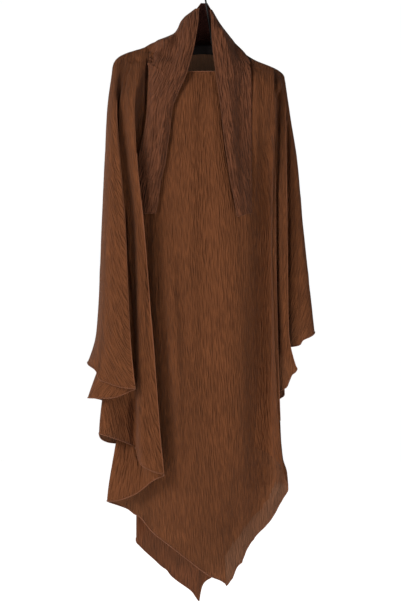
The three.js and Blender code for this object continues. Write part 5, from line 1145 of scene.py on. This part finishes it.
HOOD_FOLDS = [
    dict(side='left', x0=-130.0, z0=-193.8, x1=-132.5, z1=-203.8, w=3.6, d=-7.0),
    dict(side='left', x0=-133.8, z0=-207.5, x1=-126.2, z1=-216.2, w=3.4, d=-6.0),
    dict(side='left', x0=-141.2, z0=-223.8, x1=-123.8, z1=-222.5, w=3.2, d=-6.5),
    dict(side='left', x0=-138.8, z0=-228.8, x1=-112.5, z1=-247.5, w=3.4, d=4.5),
    dict(side='left', x0=-107.5, z0=-245.0, x1=-92.5, z1=-267.5, w=2.2, d=1.6),
    dict(side='left', x0=-112.5, z0=-178.8, x1=-85.0, z1=-176.2, w=8.5, d=6.5),
    dict(side='left', x0=-85.0, z0=-170.0, x1=-72.5, z1=-160.0, w=3.5, d=3.0),
    dict(side='left', x0=-126.2, z0=-191.2, x1=-128.3, z1=-203.8, w=4.5, d=-6.0),
    dict(side='left', x0=-128.3, z0=-207.5, x1=-123.8, z1=-216.2, w=4.0, d=-6.0),
    dict(side='left', x0=-131.2, z0=-222.5, x1=-122.5, z1=-223.8, w=3.5, d=-6.0),
    dict(side='left', x0=-112.5, z0=-192.5, x1=-82.5, z1=-212.5, w=13.0, d=-10.0),
    dict(side='left', x0=-120.0, z0=-187.5, x1=-97.5, z1=-197.5, w=4.0, d=1.2),
    dict(side='left', x0=-77.5, z0=-210.0, x1=-67.5, z1=-322.5, w=3.0, d=-1.3),
    dict(side='left', x0=-57.5, z0=-152.5, x1=-47.5, z1=-247.5, w=3.0, d=1.2),
    dict(side='left', x0=-40.0, z0=-147.5, x1=-52.5, z1=-237.5, w=2.4, d=-1.2),
    dict(side='left', x0=-97.5, z0=-257.5, x1=-107.5, z1=-372.5, w=4.0, d=1.6),
    dict(side='left', x0=-82.5, z0=-247.5, x1=-87.5, z1=-352.5, w=3.0, d=-1.5),
    dict(side='left', x0=-125.0, z0=-272.5, x1=-125.0, z1=-422.5, w=5.0, d=1.5),
    dict(side='left', x0=-112.5, z0=-322.5, x1=-117.5, z1=-547.5, w=5.0, d=-1.6),
    dict(side='left', x0=-95.0, z0=-347.5, x1=-107.5, z1=-522.5, w=4.0, d=1.4),
    dict(side='left', x0=-132.5, z0=-447.5, x1=-132.5, z1=-597.5, w=4.0, d=1.2),
    dict(side='right', x0=116.2, z0=-232.5, x1=126.2, z1=-242.5, w=3.2, d=-6.0),
    dict(side='right', x0=108.8, z0=-228.8, x1=117.5, z1=-237.5, w=3.0, d=3.0),
    dict(side='right', x0=45.0, z0=-142.5, x1=62.5, z1=-197.5, w=4.0, d=3.6),
    dict(side='right', x0=62.5, z0=-197.5, x1=77.5, z1=-262.5, w=4.2, d=3.2),
    dict(side='right', x0=77.5, z0=-177.5, x1=100.0, z1=-222.5, w=9.0, d=-5.0),
    dict(side='right', x0=92.5, z0=-227.5, x1=107.5, z1=-322.5, w=3.0, d=1.2),
    dict(side='right', x0=82.5, z0=-237.5, x1=87.5, z1=-347.5, w=3.0, d=-1.2),
    dict(side='right', x0=57.5, z0=-247.5, x1=75.0, z1=-397.5, w=4.0, d=1.4),
    dict(side='right', x0=95.0, z0=-267.5, x1=88.8, z1=-472.5, w=5.0, d=-2.4),
    dict(side='right', x0=107.5, z0=-297.5, x1=105.0, z1=-472.5, w=5.0, d=0.8),
    dict(side='right', x0=118.5, z0=-297.5, x1=118.5, z1=-585.0, w=1.8, d=1.2),
    dict(side='right', x0=87.5, z0=-422.5, x1=100.0, z1=-585.0, w=4.0, d=1.2),
    dict(side='right', x0=40.0, z0=-197.5, x1=55.0, z1=-297.5, w=2.5, d=-1.0),
]


def across(knots, count):
    """Matrix that carries values at the knots to a smooth curve at count even places."""
    k = np.asarray(knots, float)
    n = len(k)
    q = np.linspace(0, 1, count)
    M = np.zeros((count, n))
    for i in range(count):
        j = int(np.clip(np.searchsorted(k, q[i], "right") - 1, 0, n - 2))
        h = k[j + 1] - k[j]
        s = (q[i] - k[j]) / h
        h00, h10, h01, h11 = 2 * s**3 - 3 * s**2 + 1, s**3 - 2 * s**2 + s, -2 * s**3 + 3 * s**2, s**3 - s**2
        M[i, j] += h00
        M[i, j + 1] += h01
        for at, wgt in ((j, h10 * h), (j + 1, h11 * h)):
            lo, hi = max(at - 1, 0), min(at + 1, n - 1)
            M[i, hi] += wgt / (k[hi] - k[lo])
            M[i, lo] -= wgt / (k[hi] - k[lo])
    return M


LINES = ("edge", "middle", "fold", "puff", "side")
KNOTS = (0.0, 0.22, 0.46, 0.72, 0.93, 1.0)


def hood_grid(rows, top_inner, top_outer, end_inner, end_outer, cols, steps, turn):
    """Grid of points of one side. turn rolls the last line in behind the outline or under the shoulder."""
    f = {k: smooth([r["z"] for r in rows], [r[k][0] for r in rows]) for k in LINES}
    g = {k: smooth([r["z"] for r in rows], [r[k][1] for r in rows]) for k in LINES}
    s = np.linspace(0, 1, cols)[None, :].repeat(steps, 0)
    t = np.linspace(0, 1, steps)[:, None].repeat(cols, 1)
    zt, ze = top_inner + (top_outer - top_inner) * s, end_inner + (end_outer - end_inner) * s
    z = zt + (ze - zt) * t
    M = across(KNOTS, cols)
    X = np.stack([f[k](z) for k in LINES], -1)
    Y = np.stack([g[k](z) for k in LINES], -1)
    rolled = np.clip((z + 200) / 45.0, 0, 1)          # 1 where the outline itself rolls to the back
    low = np.clip((-228 - z) / 14.0, 0, 1)            # 1 where the tie hangs free
    tx = X[:, :, 4] + turn * (9.0 * rolled - 0.4 * (1 - rolled) * (1 - low) - 0.6 * low)
    ty = Y[:, :, 4] + 13.0 * rolled + 10.0 * (1 - rolled) * (1 - low) + 2.2 * low
    X = np.concatenate([X, tx[:, :, None]], -1)
    Y = np.concatenate([Y, ty[:, :, None]], -1)
    x = (X * M[None, :, :]).sum(-1)
    y = (Y * M[None, :, :]).sum(-1)
    P = np.stack([x, y, z], -1)
    step = np.linalg.norm(np.diff(P, axis=1), axis=2)
    S = np.concatenate([np.zeros((steps, 1)), np.cumsum(step, 1)], 1)
    return P, S, -z, s


def hood_piece(name, rows, seed, side, **kw):
    P, S, V, s = hood_grid(rows, **kw)
    P = share_troughs(P, TROUGHS)
    N = normals(P)
    N *= np.where(N[:, :, 1:2].mean() > 0, -1.0, 1.0)
    z = P[:, :, 2]
    # smoother beside the band than on the band and the tie
    calm = np.clip((s - 0.45) / 0.15, 0, 1) * np.clip((z + 250) / 40.0, 0, 1)
    amp = 0.66 * (1 - 0.75 * calm)
    d = amp * crinkle(S + 40, V, 6.5, 36.0, seed) + 0.45 * amp * crinkle(S, V, 3.6, 20.0, seed + 9)
    for c in HOOD_FOLDS:
        if c["side"] != side:
            continue
        x0, z0, x1, z1 = c["x0"], c["z0"], c["x1"], c["z1"]
        L2 = (x1 - x0) ** 2 + (z1 - z0) ** 2
        q = ((P[:, :, 0] - x0) * (x1 - x0) + (z - z0) * (z1 - z0)) / L2
        qc = np.clip(q, 0, 1)
        dist = np.hypot(P[:, :, 0] - (x0 + (x1 - x0) * qc), z - (z0 + (z1 - z0) * qc))
        d = d + c["d"] * bump_line(dist, c["w"]) * (0.25 + 0.75 * np.sin(math.pi * np.clip(0.12 + 0.76 * qc, 0, 1)))
    P = P + N * (d * np.clip(s / 0.03, 0, 1))[:, :, None]
    ob = sheet_object(name, P, S, V)
    return ob, P, surface_area(P)


hood_l, P_hl, A_hl = hood_piece("hood_left_cloth", HOOD_LEFT, 121, "left", top_inner=-88, top_outer=-86, end_inner=-606, end_outer=-606, cols=150, steps=330, turn=1.0)
hood_r, P_hr, A_hr = hood_piece("hood_right_cloth", HOOD_RIGHT, 131, "right", top_inner=-92, top_outer=-88, end_inner=-615, end_outer=-604, cols=150, steps=330, turn=-1.0)

# ---------------------------------------------------------------- narrow rolled hems
# the hem of the layer that lies hidden behind the right edge has no bead, as it would show through
hem_front = join_objects("hem_front_bead", [tube_object("hf_a", P_front[-1][U_front <= 4.4], HEM_BEAD), tube_object("hf_b", P_front[-1][U_front >= 6.4], HEM_BEAD)])
hem_back = tube_object("hem_back_bead", P_back[-1], HEM_BEAD)


free_l = P_hl[P_hl[:, -1, 2] < -240]
free_r = P_hr[P_hr[:, -1, 2] < -240]
hems_l = join_objects("hem_hood_left", [tube_object("hl_a", P_hl[:, 0], 1.1, 6), tube_object("hl_b", free_l[:, -1], 1.0, 6), tube_object("hl_c", P_hl[-1], 1.1, 6)])
hems_r = join_objects("hem_hood_right", [tube_object("hr_a", P_hr[:, 0], 1.1, 6), tube_object("hr_b", free_r[:, -1], 1.0, 6), tube_object("hr_c", P_hr[-1], 1.1, 6)])
# the chin edge, the middle stretch of the front's upper edge
chin = P_front[0]
sel = (chin[:, 0] > -60) & (chin[:, 0] < 52)
hem_chin = tube_object("hem_chin", chin[sel], 1.7)
seam_path = P_crown[-1][int(CC * 0.27):int(CC * 0.73)]
seam_crown = tube_object("seam_crown", seam_path + np.array([0, 0.6, -0.6]), 1.3, 6)

# ---------------------------------------------------------------- hanger
HANGER = [
    dict(x=-213, z=-231, half=5, depth=4),
    dict(x=-205, z=-224, half=9, depth=6),
    dict(x=-170, z=-211, half=10, depth=6),
    dict(x=-110, z=-201, half=10, depth=6),
    dict(x=-50, z=-194, half=11, depth=6),
    dict(x=-10, z=-190, half=12, depth=6),
    dict(x=22, z=-189, half=13, depth=6),
    dict(x=45, z=-195, half=12, depth=6),
    dict(x=70, z=-206, half=11, depth=6),
    dict(x=110, z=-224, half=10, depth=6),
    dict(x=165, z=-247, half=10, depth=6),
    dict(x=186, z=-259, half=9, depth=6),
    dict(x=194, z=-268, half=5, depth=4),
]


def loft_object(name, rings, level=2):
    n, m = len(rings), len(rings[0])
    verts = [p for r in rings for p in r]
    faces = []
    for k in range(n - 1):
        for i in range(m):
            faces.append((k * m + i, k * m + (i + 1) % m, (k + 1) * m + (i + 1) % m, (k + 1) * m + i))
    faces.append(tuple(range(m)))
    faces.append(tuple(reversed(range((n - 1) * m, n * m))))
    me = bpy.data.meshes.new(name)
    me.from_pydata([tuple(c * MM for c in p) for p in verts], [], faces)
    me.polygons.foreach_set("use_smooth", np.ones(len(me.polygons), bool))
    me.validate()
    me.update()
    ob = bpy.data.objects.new(name, me)
    bpy.context.scene.collection.objects.link(ob)
    if level:
        md = ob.modifiers.new("smooth", "SUBSURF")
        md.levels = md.render_levels = level
        bpy.context.view_layer.update()
        new = bpy.data.meshes.new_from_object(ob.evaluated_get(bpy.context.evaluated_depsgraph_get()))
        ob.modifiers.clear()
        ob.data = new
        new.polygons.foreach_set("use_smooth", np.ones(len(new.polygons), bool))
    return ob


rings = []
for r in HANGER:
    rings.append([(r["x"], r["depth"] * math.cos(q), r["z"] + r["half"] * math.sin(q)) for q in np.linspace(0, 2 * math.pi, 12, endpoint=False)])
hanger = loft_object("hanger_moulding", rings)
hook_path = [(22, 0, -175.6), (19.5, 0, -150), (15, 0, -118), (10.5, 0, -90), (6.8, 0, -66), (4.2, 0, -49), (3.4, 0, -41)]
for d in range(-80, 151, 6):
    q = math.radians(d)
    hook_path.append((19.2 * math.cos(q), 0, -17 + 19.2 * math.sin(q)))
fine = []
hp = np.array(hook_path, float)
run = np.concatenate([[0], np.cumsum(np.linalg.norm(np.diff(hp, axis=0), axis=1))])
sx, sz = smooth(run, hp[:, 0]), smooth(run, hp[:, 2])
rr = np.linspace(0, run[-1], 160)
hook = tube_object("hook_wire", np.stack([sx(rr), np.zeros_like(rr), sz(rr)], -1), 2.2, 14)

# ---------------------------------------------------------------- every piece rides on the one body
finish_piece(front, CREPE, ["cape_front"])
front.data.materials.append(CREPE_SINGLE_PAINTED_BACKLIGHT)
front.data.polygons.foreach_set("material_index", single_layer_painted_backlight.astype(np.int32).ravel())
front.data.update()
finish_piece(back, CREPE_BACK_PAINTED_SHADE, ["cape_back"])
finish_piece(crown, CREPE_FOLD_PAINTED_SHADE, ["crown"])
finish_piece(crown_inside_painted_shade, CREPE_INSIDE_PAINTED_SHADE)
finish_piece(hood_l, CREPE_STRIP_PAINTED_SHADE, ["band_left", "tie_left"])
finish_piece(hood_r, CREPE_STRIP_PAINTED_SHADE, ["band_right", "tie_right"])
finish_piece(fold_rims_painted_highlight, CREPE_RIM_PAINTED_HIGHLIGHT)
# the lighter crepe on these hems and the seam is a painted highlight
for ob in (hem_front, hem_back, hem_chin, seam_crown):
    finish_piece(ob, CREPE_HEM_PAINTED_HIGHLIGHT)
for ob in (hems_l, hems_r):
    finish_piece(ob, CREPE_STRIP_HEM_PAINTED_HIGHLIGHT)
finish_piece(hanger, PLASTIC, ["hanger_body"])
finish_piece(hook, WIRE, ["hanger_hook"])


def cut(P):
    lo, hi = P.reshape(-1, 3).min(0), P.reshape(-1, 3).max(0)
    return lo, hi


min(A_hl, 0.13 * 0.53)
min(A_hr, 0.12 * 0.53)

# ---------------------------------------------------------------- floor, light and world
me = bpy.data.meshes.new("floor")
ring = [(7.5 * math.cos(q), 7.5 * math.sin(q), -1.90) for q in np.linspace(0, 2 * math.pi, 64, endpoint=False)]
me.from_pydata(ring, [], [tuple(range(64))])
floor = bpy.data.objects.new("floor", me)
bpy.context.scene.collection.objects.link(floor)
fm, fnt, fbs = new_material("pale_floor")
fn = fnt.nodes.new("ShaderNodeTexNoise")
fn.inputs["Scale"].default_value = 3.0
fnt.links.new(ramp(fnt, fn.outputs["Fac"], [(0.3, (0.90, 0.90, 0.90)), (0.7, (0.93, 0.93, 0.93))]), fbs.inputs["Base Color"])
fbs.inputs["Emission Color"].default_value = (1, 1, 1, 1)
fbs.inputs["Emission Strength"].default_value = 0.82
fbs.inputs["Roughness"].default_value = 0.9
fbs.inputs["Specular IOR Level"].default_value = 0.1
me.materials.append(fm)

# soft room light, brighter from behind the garment than from in front of it
world = bpy.data.worlds.new("studio")
bpy.context.scene.world = world
world.use_nodes = True
wnt = world.node_tree
bg = wnt.nodes["Background"]
wtc = wnt.nodes.new("ShaderNodeTexCoord")
wsep = wnt.nodes.new("ShaderNodeSeparateXYZ")
wnt.links.new(wtc.outputs["Generated"], wsep.inputs["Vector"])
wnt.links.new(ramp(wnt, wsep.outputs["Y"], [(0.52, (0.13, 0.13, 0.13)), (0.90, (1.0, 1.0, 1.0))]), bg.inputs["Color"])
bg.inputs["Strength"].default_value = 1.01


def area_light(name, at, look, size, power, colour=(1, 1, 1)):
    ld = bpy.data.lights.new(name, "AREA")
    ld.shape = "DISK"
    ld.size = size
    ld.energy = power
    ld.color = colour
    lo = bpy.data.objects.new(name, ld)
    bpy.context.scene.collection.objects.link(lo)
    lo.location = at
    lo.rotation_euler = (Vector(look) - Vector(at)).to_track_quat("-Z", "Y").to_euler()
    return lo


area_light("key", (-3.08, -2.85, 1.3), (0, 0, -0.75), 2.0, 190)
area_light("fill", (2.6, -3.6, 0.0), (0, 0, -0.8), 2.2, 24)

bpy.context.scene.view_settings.view_transform = "Standard"
bpy.context.scene.view_settings.look = "None"
